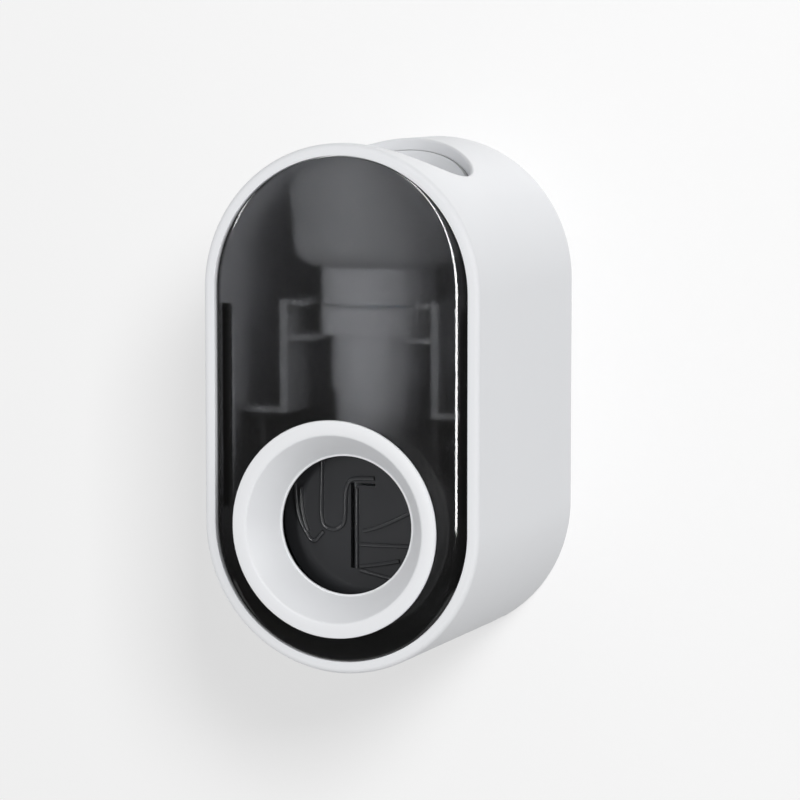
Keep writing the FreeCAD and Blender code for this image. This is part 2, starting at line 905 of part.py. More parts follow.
def make_outlet_valve():
    """Duckbill: a flange on its seat and a hollow beak that points down the outlet."""
    body = new_body("outlet_valve", tube_y)
    seat = pocket_floor - dim.outlet_seat
    flange = dim.outlet_radius + dim.outlet_seat_step - dim.fit_gap
    beak = dim.outlet_radius - dim.fit_gap
    hollow = dim.outlet_radius / 2
    shoulder = seat - dim.outlet_valve_length / 2
    tip = seat - dim.outlet_valve_length
    turned(
        body,
        (0.0, tip),
        (hollow / 2, tip),
        (beak, shoulder),
        (beak, seat),
        (flange, seat),
        (flange, pocket_floor),
        (hollow, pocket_floor),
        (hollow, shoulder),
        (0.0, tip + hollow),
    )
    return keep(body)


def coil_arcs(radius, pitch, turns, bottom):
    """Quarter-turn biarcs along a rising coil, from its bottom."""
    count = int(round(turns * 4))
    slope = pitch / (2 * math.pi)

    def station(angle):
        point = FreeCAD.Vector(radius * math.cos(angle), radius * math.sin(angle), bottom + slope * angle)
        along = FreeCAD.Vector(-radius * math.sin(angle), radius * math.cos(angle), slope)
        return point, along.normalize()

    def arc_edge(start, corner, end):
        middle = (start + end) * 0.5
        rise = (corner - middle).Length
        half = (end - start).Length / 2
        sag = half * math.tan(math.atan2(rise, half) / 2)
        through = middle + (corner - middle) * (sag / rise)
        return Part.Arc(start, through, end).toShape()

    edges = []
    for number in range(count):
        first, leaving = station(number * math.pi / 2)
        last, arriving = station((number + 1) * math.pi / 2)
        span = last - first
        total = leaving + arriving
        square = 2 * (1 - leaving.dot(arriving))
        linear = 2 * span.dot(total)
        reach = (-linear + math.sqrt(linear * linear + 4 * square * span.dot(span))) / (2 * square)
        corner_a = first + leaving * reach
        corner_b = last - arriving * reach
        joint = (corner_a + corner_b) * 0.5
        edges.append(arc_edge(first, corner_a, joint))
        edges.append(arc_edge(joint, corner_b, last))
    return edges


def make_return_spring():
    """Coil spring between the pump's ceiling and the plunger's pocket."""
    wire = dim.spring_wire.value
    turns = dim.spring_turns.value
    radius = spring_pocket_radius.value - dim.spring_side_gap.value - wire / 2
    bottom = pocket_floor.value + dim.fit_gap.value + wire / 2
    top = ceiling.value - dim.fit_gap.value - wire / 2
    pitch = (top - bottom) / turns
    path = Part.Wire(coil_arcs(radius, pitch, turns, bottom))
    first = path.OrderedEdges[0]
    start = first.valueAt(first.FirstParameter)
    along = first.tangentAt(first.FirstParameter)
    section = Part.Wire(Part.Circle(start, along, wire / 2).toShape())
    spring = doc.addObject("Part::Feature", "return_spring")
    spring.Shape = path.makePipeShell([section], True, False)
    spring.Placement = FreeCAD.Placement(FreeCAD.Vector(0.0, tube_y.value, 0.0), FreeCAD.Rotation())
    print(f"return spring: least gap between turns {pitch - wire:.2f} mm")
    return keep(spring, "return_spring")


def make_nozzle():
    """Bent spout from the plunger's front to a point above the brush."""
    body = new_body("nozzle")
    tip_y = depth(dim.nozzle_tip_depth)
    tail_y = tube_y - plunger_radius + dim.nozzle_socket
    length = tail_y - tip_y
    tip_z_low = nozzle_z - dim.nozzle_tip_drop
    for kind, run in (("Additive", nozzle_radius), ("Subtractive", dim.nozzle_bore_radius)):
        round_bar(body, kind, "y", (0.0, tip_y, nozzle_z), run, length)
        elbow = body.newObject(f"PartDesign::{kind}Sphere", "elbow")
        bind(elbow, "Radius", run)
        place(elbow, 0.0, tip_y, nozzle_z)
        spout = body.newObject(f"PartDesign::{kind}Cone", "spout")
        bind(spout, "Radius1", run - dim.nozzle_taper)
        bind(spout, "Radius2", run)
        bind(spout, "Height", dim.nozzle_tip_drop)
        place(spout, 0.0, tip_y, tip_z_low)
    return keep(body)


def make_push_paddle():
    """Round paddle that hangs from two hubs, with a lifting arm behind each."""
    body = new_body("push_paddle")
    face = depth(dim.paddle_depth)
    back = depth(paddle_back)
    disc = sketch_on(body, "XZ_Plane", -back)
    circle(disc, 0.0, ring_z, paddle_radius)
    pad(body, disc, dim.paddle_thickness)
    cut = pivot_z - dim.paddle_top_drop
    half = dim.paddle_top_half
    block(body, "Subtractive", -half, half, face, back, cut, cut + paddle_radius)
    bore = dim.pin_radius + dim.pin_play
    bar_top = tip_z + dim.tip_radius - dim.fit_gap
    bar_low = bar_top - dim.arm_thickness
    for side in SIDES:
        low, high = side_span(side, arm_inner, arm_outer)
        round_bar(body, "Additive", "x", (low, pivot_y, pivot_z), hub_radius, high - low)
        block(body, "Additive", low, high, face, back, ring_z + paddle_radius / 2, pivot_z)
        block(body, "Additive", low, high, face, pivot_y + hub_radius, bar_low, pivot_z)
        block(body, "Additive", low, high, pivot_y, tube_y, bar_low, bar_top)
        round_bar(body, "Additive", "x", (low, tube_y, tip_z), dim.tip_radius, high - low)
        round_bar(body, "Subtractive", "x", (low, pivot_y, pivot_z), bore, high - low)
    cut_paddle_slot(body, face)
    raise_paddle_rib(body, face)
    return keep(body)


def cut_paddle_slot(body, face):
    """L-shaped slot: down the middle and across to the right at its top."""
    left = -dim.paddle_slot_left
    right = left + dim.paddle_slot_width
    top = ring_z + dim.paddle_slot_top
    low = top - dim.paddle_slot_length
    slot = sketch_on(body, "XZ_Plane", -face)
    outline(
        slot,
        (left, low),
        (right, low),
        (right, top - dim.paddle_slot_width),
        (dim.paddle_slot_reach, top - dim.paddle_slot_width),
        (dim.paddle_slot_reach, top),
        (left, top),
    )
    pocket(body, slot, dim.paddle_thickness)


def raise_paddle_rib(body, face):
    """U-shaped rib beside the slot."""
    outer = dim.rib_gap / 2 + dim.rib_width / 2
    inner = outer - dim.rib_width
    middle = -dim.rib_left + dim.rib_gap / 2
    bend = ring_z + dim.rib_bend_rise
    left_top = bend + dim.rib_left_length
    right_top = bend + dim.rib_right_length
    rib = sketch_on(body, "XZ_Plane", -face)
    outline(
        rib,
        (middle - outer, left_top),
        (middle - outer, bend, middle, bend, 1),
        (middle + outer, bend),
        (middle + outer, right_top),
        (middle + inner, right_top),
        (middle + inner, bend, middle, bend, -1),
        (middle - inner, bend),
        (middle - inner, left_top),
    )
    pad(body, rib, dim.rib_height)


def make_inner_frame():
    """Hat-shaped frame: side walls, two slotted shelves, base flanges and a screwed back plate."""
    body = new_body("inner_frame")
    outer = dim.frame_half_width
    inner = outer - dim.frame_wall
    reach = case_inner - dim.frame_side_gap
    hat = sketch_on(body, "XZ_Plane", -depth(frame_rear))
    outline(
        hat,
        (-reach, flange_under),
        (-inner, flange_under),
        (-inner, shelf_bottom),
        (inner, shelf_bottom),
        (inner, flange_under),
        (reach, flange_under),
        (reach, frame_base),
        (outer, frame_base),
        (outer, frame_top),
        (-outer, frame_top),
        (-outer, frame_base),
        (-reach, frame_base),
    )
    rectangle(hat, -inner, inner, shelf_top, top_shelf_bottom)
    pad(body, hat, dim.frame_depth)
    wide = case_inner - dim.frame_ear_gap
    ear_top = shelf_top + dim.frame_ear_rise
    front, back = depth(frame_rear), depth(frame_end)
    block(body, "Additive", -outer, outer, front, back, flange_under, frame_top)
    block(body, "Additive", -wide, wide, front, back, flange_under, ear_top)
    cut_frame_slot(body, pump_radius + dim.frame_slot_gap, frame_top - shelf_bottom)
    cut_frame_slot(body, neck_radius + dim.frame_slot_gap, frame_top - top_shelf_bottom)
    for x, z in frame_screw_spots:
        round_bar(body, "Subtractive", "y", (x, depth(frame_rear), z), screw_hole, dim.frame_back_plate)
    for x, y in guard_screw_spots:
        round_bar(body, "Subtractive", "z", (x, y, flange_under), screw_hole, dim.frame_flange)
    return keep(body)


def cut_frame_slot(body, half, length):
    """Slot from the front that a round piece slides into, cut down from the frame's top."""
    mouth = depth(dim.frame_front)
    slot = sketch_on(body, "XY_Plane", frame_top)
    outline(slot, (-half, mouth), (half, mouth), (half, tube_y, 0.0, tube_y, 1), (-half, tube_y))
    pocket(body, slot, length)


def make_splash_guard():
    """Dark trough round the paddle, with tabs under the frame and bosses for the pivot pins."""
    body = new_body("splash_guard")
    outer = dim.guard_half_width
    trough = sketch_on(body, "XZ_Plane", -depth(guard_rear))
    outline(
        trough,
        (-outer, flange_under),
        (-outer, ring_z, 0.0, ring_z, 1),
        (outer, ring_z),
        (outer, flange_under),
        (guard_inner, flange_under),
        (guard_inner, ring_z, 0.0, ring_z, -1),
        (-guard_inner, ring_z),
        (-guard_inner, flange_under),
    )
    pad(body, trough, dim.guard_length)
    tab_front = depth(dim.guard_tab_front)
    tab_rear = tab_front + dim.guard_tab_length
    tab_low = flange_under - dim.guard_tab
    for side in SIDES:
        low, high = side_span(side, guard_middle, case_inner - dim.guard_tab_gap)
        block(body, "Additive", low, high, tab_front, tab_rear, tab_low, flange_under)
        low, high = side_span(side, guard_boss_start, guard_middle)
        boss = dim.pin_radius + dim.guard_boss_wall
        round_bar(body, "Additive", "x", (low, pivot_y, pivot_z), boss, high - low)
        low, high = side_span(side, guard_boss_start, outer)
        bore = dim.pin_radius + dim.pin_play / 2
        round_bar(body, "Subtractive", "x", (low, pivot_y, pivot_z), bore, high - low)
    for x, y in guard_screw_spots:
        round_bar(body, "Subtractive", "z", (x, y, tab_low), screw_pilot, dim.guard_tab)
    return keep(body)


def stepped_bar(axis, *sections):
    """Coaxial cylinders joined end to end, each given as start, radius and length."""
    bars = [round_bar(None, "Part", axis, *section) for section in sections]
    joined = doc.addObject("Part::MultiFuse", "stepped_bar")
    joined.Shapes = bars
    return joined


def group(label, pieces):
    compound = doc.addObject("Part::Compound", label)
    compound.Links = pieces
    return keep(compound, label)


def make_pivot_pins():
    pins = []
    for side in SIDES:
        low, high = side_span(side, arm_inner, dim.guard_half_width)
        head_low, head_high = side_span(side, dim.guard_half_width, dim.guard_half_width + dim.pin_head)
        shank = ((low, pivot_y, pivot_z), dim.pin_radius, high - low)
        head = ((head_low, pivot_y, pivot_z), dim.pin_radius + dim.pin_head_step, head_high - head_low)
        pins.append(stepped_bar("x", shank, head))
    return group("pivot_pins", pins)


def make_frame_screws():
    screws = []
    for x, z in frame_screw_spots:
        head_y = depth(frame_rear) - dim.screw_head
        head = ((x, head_y, z), screw_head_radius, dim.screw_head)
        shank = ((x, depth(frame_rear), z), dim.screw_radius, dim.frame_screw_length)
        screws.append(stepped_bar("y", head, shank))
    return group("frame_screws", screws)


def make_guard_screws():
    screws = []
    for x, y in guard_screw_spots:
        head = ((x, y, frame_base), screw_head_radius, dim.screw_head)
        shank = ((x, y, frame_base - dim.guard_screw_length), dim.screw_radius, dim.guard_screw_length)
        screws.append(stepped_bar("z", head, shank))
    return group("guard_screws", screws)


def check_document():
    doc.recompute()
    for item in doc.Objects:
        if "Invalid" in item.State or "Error" in item.State:
            raise ValueError(f"{item.Name} of {doc.Name} failed: {item.State}")
    for node in nodes:
        if node.Shape.isNull() or not node.Shape.isValid():
            raise ValueError(f"{node.Label} has no valid shape")


make_casing()
make_wall_bracket()
make_adhesive_pad()
make_front_panel()
make_brush_ring()
make_ring_retainer()
make_tube_cup()
make_neck_socket()
make_neck_sleeve()
make_neck_seal()
make_pump_collar()
make_pump_body()
make_inlet_valve()
make_plunger()
make_piston_seal()
make_outlet_valve()
make_return_spring()
make_nozzle()
make_push_paddle()
make_inner_frame()
make_splash_guard()
make_pivot_pins()
make_frame_screws()
make_guard_screws()
check_document()
os.makedirs("parts", exist_ok=True)
for node in nodes:
    node.Shape.exportStep(f"parts/{node.Label}.step")
    print(f"{node.Label}: {len(node.Shape.Solids)} solid, {node.Shape.Volume:.1f} mm3")
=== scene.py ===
import math

import bmesh
import bpy
from bpy.props import FloatProperty, FloatVectorProperty, PointerProperty
from bpy.types import NodeSocket, Operator, Panel, PropertyGroup
from mathutils import Matrix, Vector


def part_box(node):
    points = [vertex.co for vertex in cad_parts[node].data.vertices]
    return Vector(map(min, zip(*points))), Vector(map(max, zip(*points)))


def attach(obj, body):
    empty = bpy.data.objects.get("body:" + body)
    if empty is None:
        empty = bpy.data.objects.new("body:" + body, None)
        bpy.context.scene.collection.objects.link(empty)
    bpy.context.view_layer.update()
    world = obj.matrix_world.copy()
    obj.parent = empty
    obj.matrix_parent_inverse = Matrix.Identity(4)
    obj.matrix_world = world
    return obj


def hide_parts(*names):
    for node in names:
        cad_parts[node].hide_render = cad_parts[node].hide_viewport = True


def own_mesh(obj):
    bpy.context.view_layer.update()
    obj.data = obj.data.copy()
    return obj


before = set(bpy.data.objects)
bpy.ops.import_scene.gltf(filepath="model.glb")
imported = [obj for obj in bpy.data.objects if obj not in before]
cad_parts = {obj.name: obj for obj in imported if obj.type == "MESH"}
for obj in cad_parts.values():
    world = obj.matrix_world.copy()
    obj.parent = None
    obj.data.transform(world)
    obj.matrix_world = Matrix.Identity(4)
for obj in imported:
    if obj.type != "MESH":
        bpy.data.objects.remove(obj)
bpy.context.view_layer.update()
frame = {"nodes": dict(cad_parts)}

bl_info = {
    "name": "Toothpaste Dispenser",
    "version": (1, 0, 0),
    "blender": (4, 5, 0),
    "location": "View3D > Sidebar > Dispenser",
    "description": "Dresses the packed dispenser with its visible pieces, finishes and stage",
    "category": "Add Mesh",
}

CASE_LOW, CASE_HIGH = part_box("casing")
PANEL_LOW, PANEL_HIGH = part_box("front_panel")
RING_LOW, RING_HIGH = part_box("brush_ring")
PADDLE_LOW, PADDLE_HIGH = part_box("push_paddle")
CUP_LOW, CUP_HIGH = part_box("tube_cup")
SPRING_LOW, SPRING_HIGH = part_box("return_spring")
PINS_LOW, PINS_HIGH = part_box("pivot_pins")

MM = 0.001
TUBE_Y = (CUP_LOW.y + CUP_HIGH.y) / 2
RING_Z = (RING_LOW.z + RING_HIGH.z) / 2
PIVOT_Y = (PINS_LOW.y + PINS_HIGH.y) / 2
PIVOT_Z = (PINS_LOW.z + PINS_HIGH.z) / 2
SIDES = (1, -1)
SUPPORT = 0.5 * MM  # width of the band that keeps a flat face's shading flat beside a rounding
SEAM = 0.02 * MM  # overlap of meshes that meet
SOFT_EDGE = 0.3 * MM  # rounding of small moulded forms
CUT_PAST = 5 * MM  # how far a cutter goes past what it cuts

ARC_STEPS = 96  # points on each arch of a stadium
SIDE_STEPS = 12  # points on each straight side of a stadium
ROUND_STEPS = 160  # points round a large round form
HOLE_STEPS = 128  # points round the panel's hole
BAR_STEPS = 40  # points round a bar
DEPTH_STEPS = 24  # rows along a long run of the casing's depth
LONG_RUN = 5 * MM
FLARE_STEPS = 12  # rows of the flare of the tube hole's cutter
FOOT_STEPS = 32  # points along the round foot of the channel's housing
COIL_STEPS = 24  # points along each turn of the spring

SCREW_HEAD = 2.5 * MM  # radius of a frame screw's head
BOSS_RADIUS = 3.6 * MM
STOP_DEPTH = 1.5 * MM  # of the stops behind the panel's skirts
STOP_GAP = 0.1 * MM
STOP_INSET = 5 * MM  # how much shorter than the straight sides the stops are at each end
CHANNEL_LIP = 1.0 * MM  # straight part of the channel's mouth
LEAST_BEVEL = 0.1  # share of the panel's bevel that is left at the top and bottom
PANEL_EDGE = 0.15 * MM  # rounding of the panel's edges
COVER_BAND = 0.3 * MM  # width of the black band along the panel's edge
COVER_START = 0.05 * MM  # from the panel's back to that band
SKIRT_INSET = 0.6 * MM  # from the panel's edge to its skirts
SKIRT_SHORT = 3 * MM  # how much shorter than the straight sides the skirts are at each end
PANEL_HOLE_INSET = 2.88 * MM  # from the ring's outside to the edge of the panel's hole
NECK_INSET = 3.08 * MM  # from the ring's outside to its neck in the panel
FOOT_INSET = 1.88 * MM  # from the ring's outside to the foot of its flare on the panel
LIP_EDGE = 0.5 * MM  # height of the ring's outer edge
GROOVE_DEPTH = 0.8 * MM  # of the groove for the retaining ring
GROOVE_WIDTH = 1.3 * MM
LEDGE_HEIGHT = 0.75 * MM  # of the fine ledge at the cone's foot
LEDGE_WIDTH = 0.4 * MM
PADDLE_DEPTH = 9.6 * MM  # from the casing's rim to the paddle's face
PADDLE_EDGE = 0.4 * MM  # rounding of the disc's edges
FLAT_DROP = 2.2 * MM  # from the pivot to the flat across the disc's top
HUB_RADIUS = 2.6 * MM
TIP_RADIUS = 1.0 * MM
TIP_DROP = 4.05 * MM  # from the pivot to the tips of the lifting arms
ARM_INNER, ARM_OUTER = 10.0 * MM, 13.2 * MM
WEB_FOOT = 8.1 * MM  # from the ring's middle to the foot of the webs between disc and hubs


def length(name, description, default):
    """A size property shown in the scene's length unit."""
    return FloatProperty(name=name, description=description, default=default, unit="LENGTH", precision=5)


def tint(name, description, default):
    """A colour property without alpha."""
    return FloatVectorProperty(
        name=name, description=description, default=default, subtype="COLOR", size=3, min=0.0, max=1.0
    )


def angle(name, description, degrees):
    """A turn of the camera."""
    return FloatProperty(name=name, description=description, default=math.radians(degrees), subtype="ANGLE")


def power(name, description, default):
    """The power of a lamp."""
    return FloatProperty(name=name, description=description, default=default, unit="POWER")


class DispenserShape(PropertyGroup):
    """Sizes of the visible pieces."""

    case_wall: length("Casing wall", "Thickness of the casing's wall", 2.6 * MM)
    case_back_wall: length("Back wall", "Thickness of the casing's back", 2.5 * MM)
    case_front_round: length("Front rounding", "Outer rounding of the front rim", 1.2 * MM)
    case_inner_round: length("Inner rounding", "Inner rounding of the front rim", 0.2 * MM)
    case_rear_round: length("Rear rounding", "Rounding of the rear edge", 0.8 * MM)
    tube_hole_radius: length("Tube hole", "Radius of the hole in the casing's top", 19.6 * MM)
    tube_hole_round: length("Tube hole rounding", "Rounding of the tube hole's edge", 0.6 * MM)
    channel_half: length("Channel half width", "Half of the bracket channel's inner width", 17.75 * MM)
    channel_mouth: length("Channel mouth", "Half of the bracket channel's mouth", 15.25 * MM)
    channel_depth: length("Channel depth", "Depth of the bracket channel from the wall", 5.05 * MM)
    channel_top: length("Channel top", "Height of the bracket channel's end", 23.25 * MM)
    channel_wall: length("Channel wall", "Wall of the channel's housing", 3.0 * MM)
    panel_recess: length("Panel recess", "How far the panel sits behind the rim", 0.6 * MM)
    panel_thickness: length("Panel thickness", "Thickness of the front panel", 1.8 * MM)
    bevel_width: length("Bevel width", "Width of the panel's bevel", 2.1 * MM)
    bevel_drop: length("Bevel drop", "Depth of the panel's bevel", 0.39 * MM)
    bevel_blend: length("Bevel blend", "Width of the soft line between bevel and face", 2.0 * MM)
    skirt_thickness: length("Skirt thickness", "Thickness of the panel's side skirts", 1.7 * MM)
    ring_bore: length("Ring bore", "Radius of the brush hole", 14.9 * MM)
    ring_lip: length("Ring lip", "Width of the ring's flat lip", 3.2 * MM)
    ring_round: length("Ring rounding", "Rounding of the ring's edges", 0.35 * MM)
    paddle_thickness: length("Paddle thickness", "Thickness of the paddle's disc", 2.2 * MM)
    rib_radius: length("Rib radius", "Half of the paddle ribs' width", 0.48 * MM)
    spring_wire: length("Spring wire", "Thickness of the spring's wire", 0.9 * MM)
    spring_turns: FloatProperty(name="Spring turns", description="Turns of the return spring", default=4.0)


class DispenserFinish(PropertyGroup):
    """Colours of the materials."""

    shell: tint("Shell", "White outer plastic", (0.82, 0.83, 0.85))
    panel: tint("Panel", "Smoked panel seen through", (0.41, 0.41, 0.42))
    inner: tint("Inner plastic", "Plastic of the pump", (0.86, 0.87, 0.89))
    # The frame's grey is partly its own colour and partly painted shade of the dim space behind the pump.
    frame: tint("Frame", "Greyer plastic of the frame and bracket", (0.46, 0.47, 0.48))
    # The cup's grey is partly painted shade behind the panel, and the bowl's paler colour is painted light.
    cup: tint("Cup", "Greyer plastic of the tube cup", (0.57, 0.58, 0.59))
    bowl: tint("Bowl", "Inside of the tube cup", (0.86, 0.87, 0.89))
    paddle: tint("Paddle", "Dark plastic of the paddle", (0.038, 0.039, 0.042))
    # The guard's near black stands as painted shade of the dim lower inside.
    guard: tint("Guard", "Dark plastic round the paddle", (0.010, 0.010, 0.011))
    silicone: tint("Silicone", "Soft seals and valves", (0.62, 0.64, 0.66))
    foam: tint("Foam", "Adhesive foam on the wall", (0.55, 0.57, 0.58))
    steel: tint("Steel", "Spring, pins and retaining ring", (0.60, 0.61, 0.63))
    screw: tint("Screws", "Blackened steel of the screws", (0.09, 0.09, 0.10))


class DispenserStage(PropertyGroup):
    """Camera, lights and backdrop."""

    azimuth: angle("Azimuth", "Camera's turn to the object's right", 21.448)
    elevation: angle("Elevation", "Camera's height angle", 5.888)
    distance: length("Distance", "From the camera to its target", 0.7391)
    lens: FloatProperty(
        name="Lens", description="Focal length on a 36 mm sensor", default=157.06, unit="CAMERA"
    )
    key_power: power("Key light", "Power of the key light", 5.5)
    fill_power: power("Fill light", "Power of the fill light", 0.5)
    strip_power: power("Strip light", "Power of the strip light", 3.0)
    edge_power: power("Edge light", "Power of the light at the left", 0.8)
    top_power: power("Top light", "Power of the light above", 0.6)
    back_power: power("Back light", "Power of the light behind", 6.0)
    wall_power: power("Wall light", "Power of the wall's light", 7.5)
    ambient: FloatProperty(name="Ambient", description="Strength of the even light", default=0.39, min=0.0)
    glossy_ambient: FloatProperty(
        name="Glossy ambient", description="Strength of the even light in reflections", default=0.06, min=0.0
    )
    wall: tint("Wall", "Colour of the wall", (0.45, 0.45, 0.45))
    wall_lift: FloatProperty(name="Wall lift", description="Extra brightness of the seen wall", default=0.53)


# Outlines and meshes

def corner_arc(before, here, after, radius, steps):
    """Points of a rounded corner of a flat outline."""
    to_before = before - here
    to_after = after - here
    half = to_before.angle(to_after) / 2
    if radius <= 0 or half > math.radians(89):
        return [here]
    reach = min(radius / math.tan(half), to_before.length * 0.49, to_after.length * 0.49)
    radius = reach * math.tan(half)
    to_before.normalize()
    to_after.normalize()
    centre = here + (to_before + to_after).normalized() * (radius / math.sin(half))
    first = here + to_before * reach - centre
    sweep = first.angle_signed(here + to_after * reach - centre)
    return [centre + Matrix.Rotation(-sweep * n / steps, 2) @ first for n in range(steps + 1)]


def soft_outline(corners, steps=5):
    """A closed flat outline whose corners are given as (u, v, rounding)."""
    points = [Vector(corner[:2]) for corner in corners]
    outline = []
    for n, corner in enumerate(corners):
        after = points[(n + 1) % len(points)]
        outline.extend(corner_arc(points[n - 1], points[n], after, corner[2], steps))
    return outline


def circle(steps):
    """Cosine and sine of evenly spaced turns."""
    turns = [2 * math.pi * n / steps for n in range(steps)]
    return [(math.cos(turn), math.sin(turn)) for turn in turns]


def stadium(radius, half_span, y):
    """An upright stadium loop in the plane of one depth."""
    loop = []
    for side in SIDES:
        for n in range(ARC_STEPS):
            turn = math.pi * n / ARC_STEPS
            across, up = radius * math.cos(turn), half_span + radius * math.sin(turn)
            loop.append(Vector((side * across, y, side * up)))
        for n in range(SIDE_STEPS):
            loop.append(Vector((-side * radius, y, side * half_span * (1 - 2 * n / SIDE_STEPS))))
    return loop


def side_share():
    """For each point of a stadium loop, 1 on the straight sides, fading to little at top and bottom."""
    arch = [max(LEAST_BEVEL, math.cos(math.pi * n / ARC_STEPS) ** 4) for n in range(ARC_STEPS)]
    return (arch + [1.0] * SIDE_STEPS) * 2


def skin(mesh, loops, closed=False):
    """Faces between loops of equal count; returns the loops' vertices."""
    rows = [[mesh.verts.new(point) for point in loop] for loop in loops]
    pairs = list(zip(rows, rows[1:]))
    if closed:
        pairs.append((rows[-1], rows[0]))
    for low, high in pairs:
        for n in range(len(low)):
            m = (n + 1) % len(low)
            mesh.faces.new((low[n], low[m], high[m], high[n]))
    return rows


def fill_ends(mesh, loops):
    """A skin over loops whose first and last loops are filled."""
    rows = skin(mesh, loops)
    mesh.faces.new(rows[0])
    mesh.faces.new(rows[-1])


def soft_box(mesh, low, high, rounding):
    """A box with rounded edges."""
    made = bmesh.ops.create_cube(mesh, size=1.0)["verts"]
    size = Vector(high) - Vector(low)
    middle = (Vector(high) + Vector(low)) / 2
    for vert in made:
        vert.co = Vector((vert.co.x * size.x, vert.co.y * size.y, vert.co.z * size.z)) + middle
    edges = list({edge for vert in made for edge in vert.link_edges})
    bmesh.ops.bevel(mesh, geom=edges, offset=rounding, segments=3, profile=0.5, affect="EDGES")


def soft_bar(mesh, axis, start, radius, span, rounding):
    """A closed round bar along X or Y with rounded ends."""
    corners = [(0.0, 0.0, 0.0), (radius, 0.0, rounding), (radius, span, rounding), (0.0, span, 0.0)]
    loops = []
    for r, h in soft_outline(corners, 4)[1:-1]:
        ring = []
        for across, up in circle(BAR_STEPS):
            offset = (h, r * across, r * up) if axis == "X" else (r * up, h, r * across)
            ring.append(Vector(start) + Vector(offset))
        loops.append(ring)
    fill_ends(mesh, loops)


def placed(name, data):
    """An object in the scene for a mesh, curve, lamp or camera."""
    holder = bpy.data.objects.new(name, data)
    bpy.context.scene.collection.objects.link(holder)
    return holder


def finished(name, mesh, sharp=32.0):
    """Turn the working mesh into a shown object, smooth but for its sharp edges."""
    bmesh.ops.recalc_face_normals(mesh, faces=mesh.faces)
    data = bpy.data.meshes.new(name)
    mesh.to_mesh(data)
    mesh.free()
    data.shade_smooth()
    data.set_sharp_from_angle(angle=math.radians(sharp))
    return placed(name, data)


def capped(name, loops):
    """A closed object over loops."""
    mesh = bmesh.new()
    fill_ends(mesh, loops)
    return finished(name, mesh)


def evaluated_mesh(piece):
    """The mesh that an object's modifiers or curve settings give."""
    graph = bpy.context.evaluated_depsgraph_get()
    return bpy.data.meshes.new_from_object(piece.evaluated_get(graph))


def carve(piece, cutter):
    """Cut one object out of another and drop the cutter."""
    step = piece.modifiers.new("carve", "BOOLEAN")
    step.operation = "DIFFERENCE"
    step.solver = "EXACT"
    step.object = cutter
    result = evaluated_mesh(piece)
    piece.modifiers.remove(step)
    if len(result.polygons) == 0:
        raise RuntimeError(f"the cut left nothing of {piece.name}")
    piece.data = result
    bpy.data.objects.remove(cutter)


def merge(name, pieces, sharp=32.0):
    """Join finished objects into one."""
    mesh = bmesh.new()
    for piece in pieces:
        mesh.from_mesh(piece.data)
        bpy.data.objects.remove(piece)
    return finished(name, mesh, sharp)


def dress(piece, body, nodes, material):
    """Give a new piece its material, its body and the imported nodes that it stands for."""
    piece.data.materials.clear()
    piece.data.materials.append(material)
    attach(piece, body)
    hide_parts(*nodes)


def coat_nodes(names, material):
    """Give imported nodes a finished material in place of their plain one."""
    for name in names:
        node = frame["nodes"][name]
        node.data.materials.clear()
        node.data.materials.append(material)


# Finishes

FLOAT, COLOUR = "NodeSocketFloat", "NodeSocketColor"


class Graph:
    """A short way to add shader nodes and link them."""

    def __init__(self, tree):
        self.tree = tree

    def link(self, source, target):
        self.tree.links.new(source, target)

    def add(self, kind, inputs=None, **settings):
        """A node with its settings; each input, by name or number, is linked or set."""
        node = self.tree.nodes.new(kind)
        for name, value in settings.items():
            setattr(node, name, value)
        for key, value in (inputs or {}).items():
            if isinstance(value, NodeSocket):
                self.link(value, node.inputs[key])
            else:
                node.inputs[key].default_value = value
        return node

    def math(self, operation, *values, **settings):
        """The result of a math node."""
        node = self.add("ShaderNodeMath", dict(enumerate(values)), operation=operation, **settings)
        return node.outputs[0]

    def vector(self, operation, first, second, output="Vector"):
        """The result of a vector math node."""
        node = self.add("ShaderNodeVectorMath", {0: first, 1: second}, operation=operation)
        return node.outputs[output]

    def mix(self, factor, first, second, blend_type="MIX"):
        """The result of a colour mix."""
        inputs = {"Factor": factor, "A": first, "B": second}
        return self.add("ShaderNodeMix", inputs, data_type="RGBA", blend_type=blend_type).outputs["Result"]

    def noise(self, place, scale, detail=2.0):
        """A cloud of noise."""
        inputs = {"Vector": place, "Scale": scale, "Detail": detail}
        return self.add("ShaderNodeTexNoise", inputs).outputs["Fac"]


def new_group(name, inputs, outputs):
    """A node group with named sockets: its graph, what comes in and what goes out."""
    tree = bpy.data.node_groups.new(name, "ShaderNodeTree")
    for in_out, sockets in (("INPUT", inputs), ("OUTPUT", outputs)):
        for label, kind, value in sockets:
            socket = tree.interface.new_socket(name=label, in_out=in_out, socket_type=kind)
            if value is not None:
                socket.default_value = value
    graph = Graph(tree)
    return graph, graph.add("NodeGroupInput").outputs, graph.add("NodeGroupOutput").inputs


def built_once(build):
    """Build a node group at its first use, and hand out the same one after that."""
    def shared():
        return bpy.data.node_groups.get(build.__name__) or build()
    return shared


@built_once
def moulded_grain():
    """Fine moulding grain: a height for the bump and a roughness that varies more broadly."""
    graph, inside, outside = new_group(
        "moulded_grain",
        [("Grain Scale", FLOAT, 2600.0), ("Roughness", FLOAT, 0.4), ("Roughness Spread", FLOAT, 0.08)],
        [("Height", FLOAT, None), ("Roughness", FLOAT, None)],
    )
    place = graph.add("ShaderNodeTexCoord").outputs["Object"]
    graph.link(graph.noise(place, inside["Grain Scale"], 3.0), outside["Height"])
    centred = graph.math("SUBTRACT", graph.noise(place, 75.0, 4.0), 0.5)
    varied = graph.math("MULTIPLY_ADD", centred, inside["Roughness Spread"], inside["Roughness"])
    graph.link(varied, outside["Roughness"])
    return graph.tree


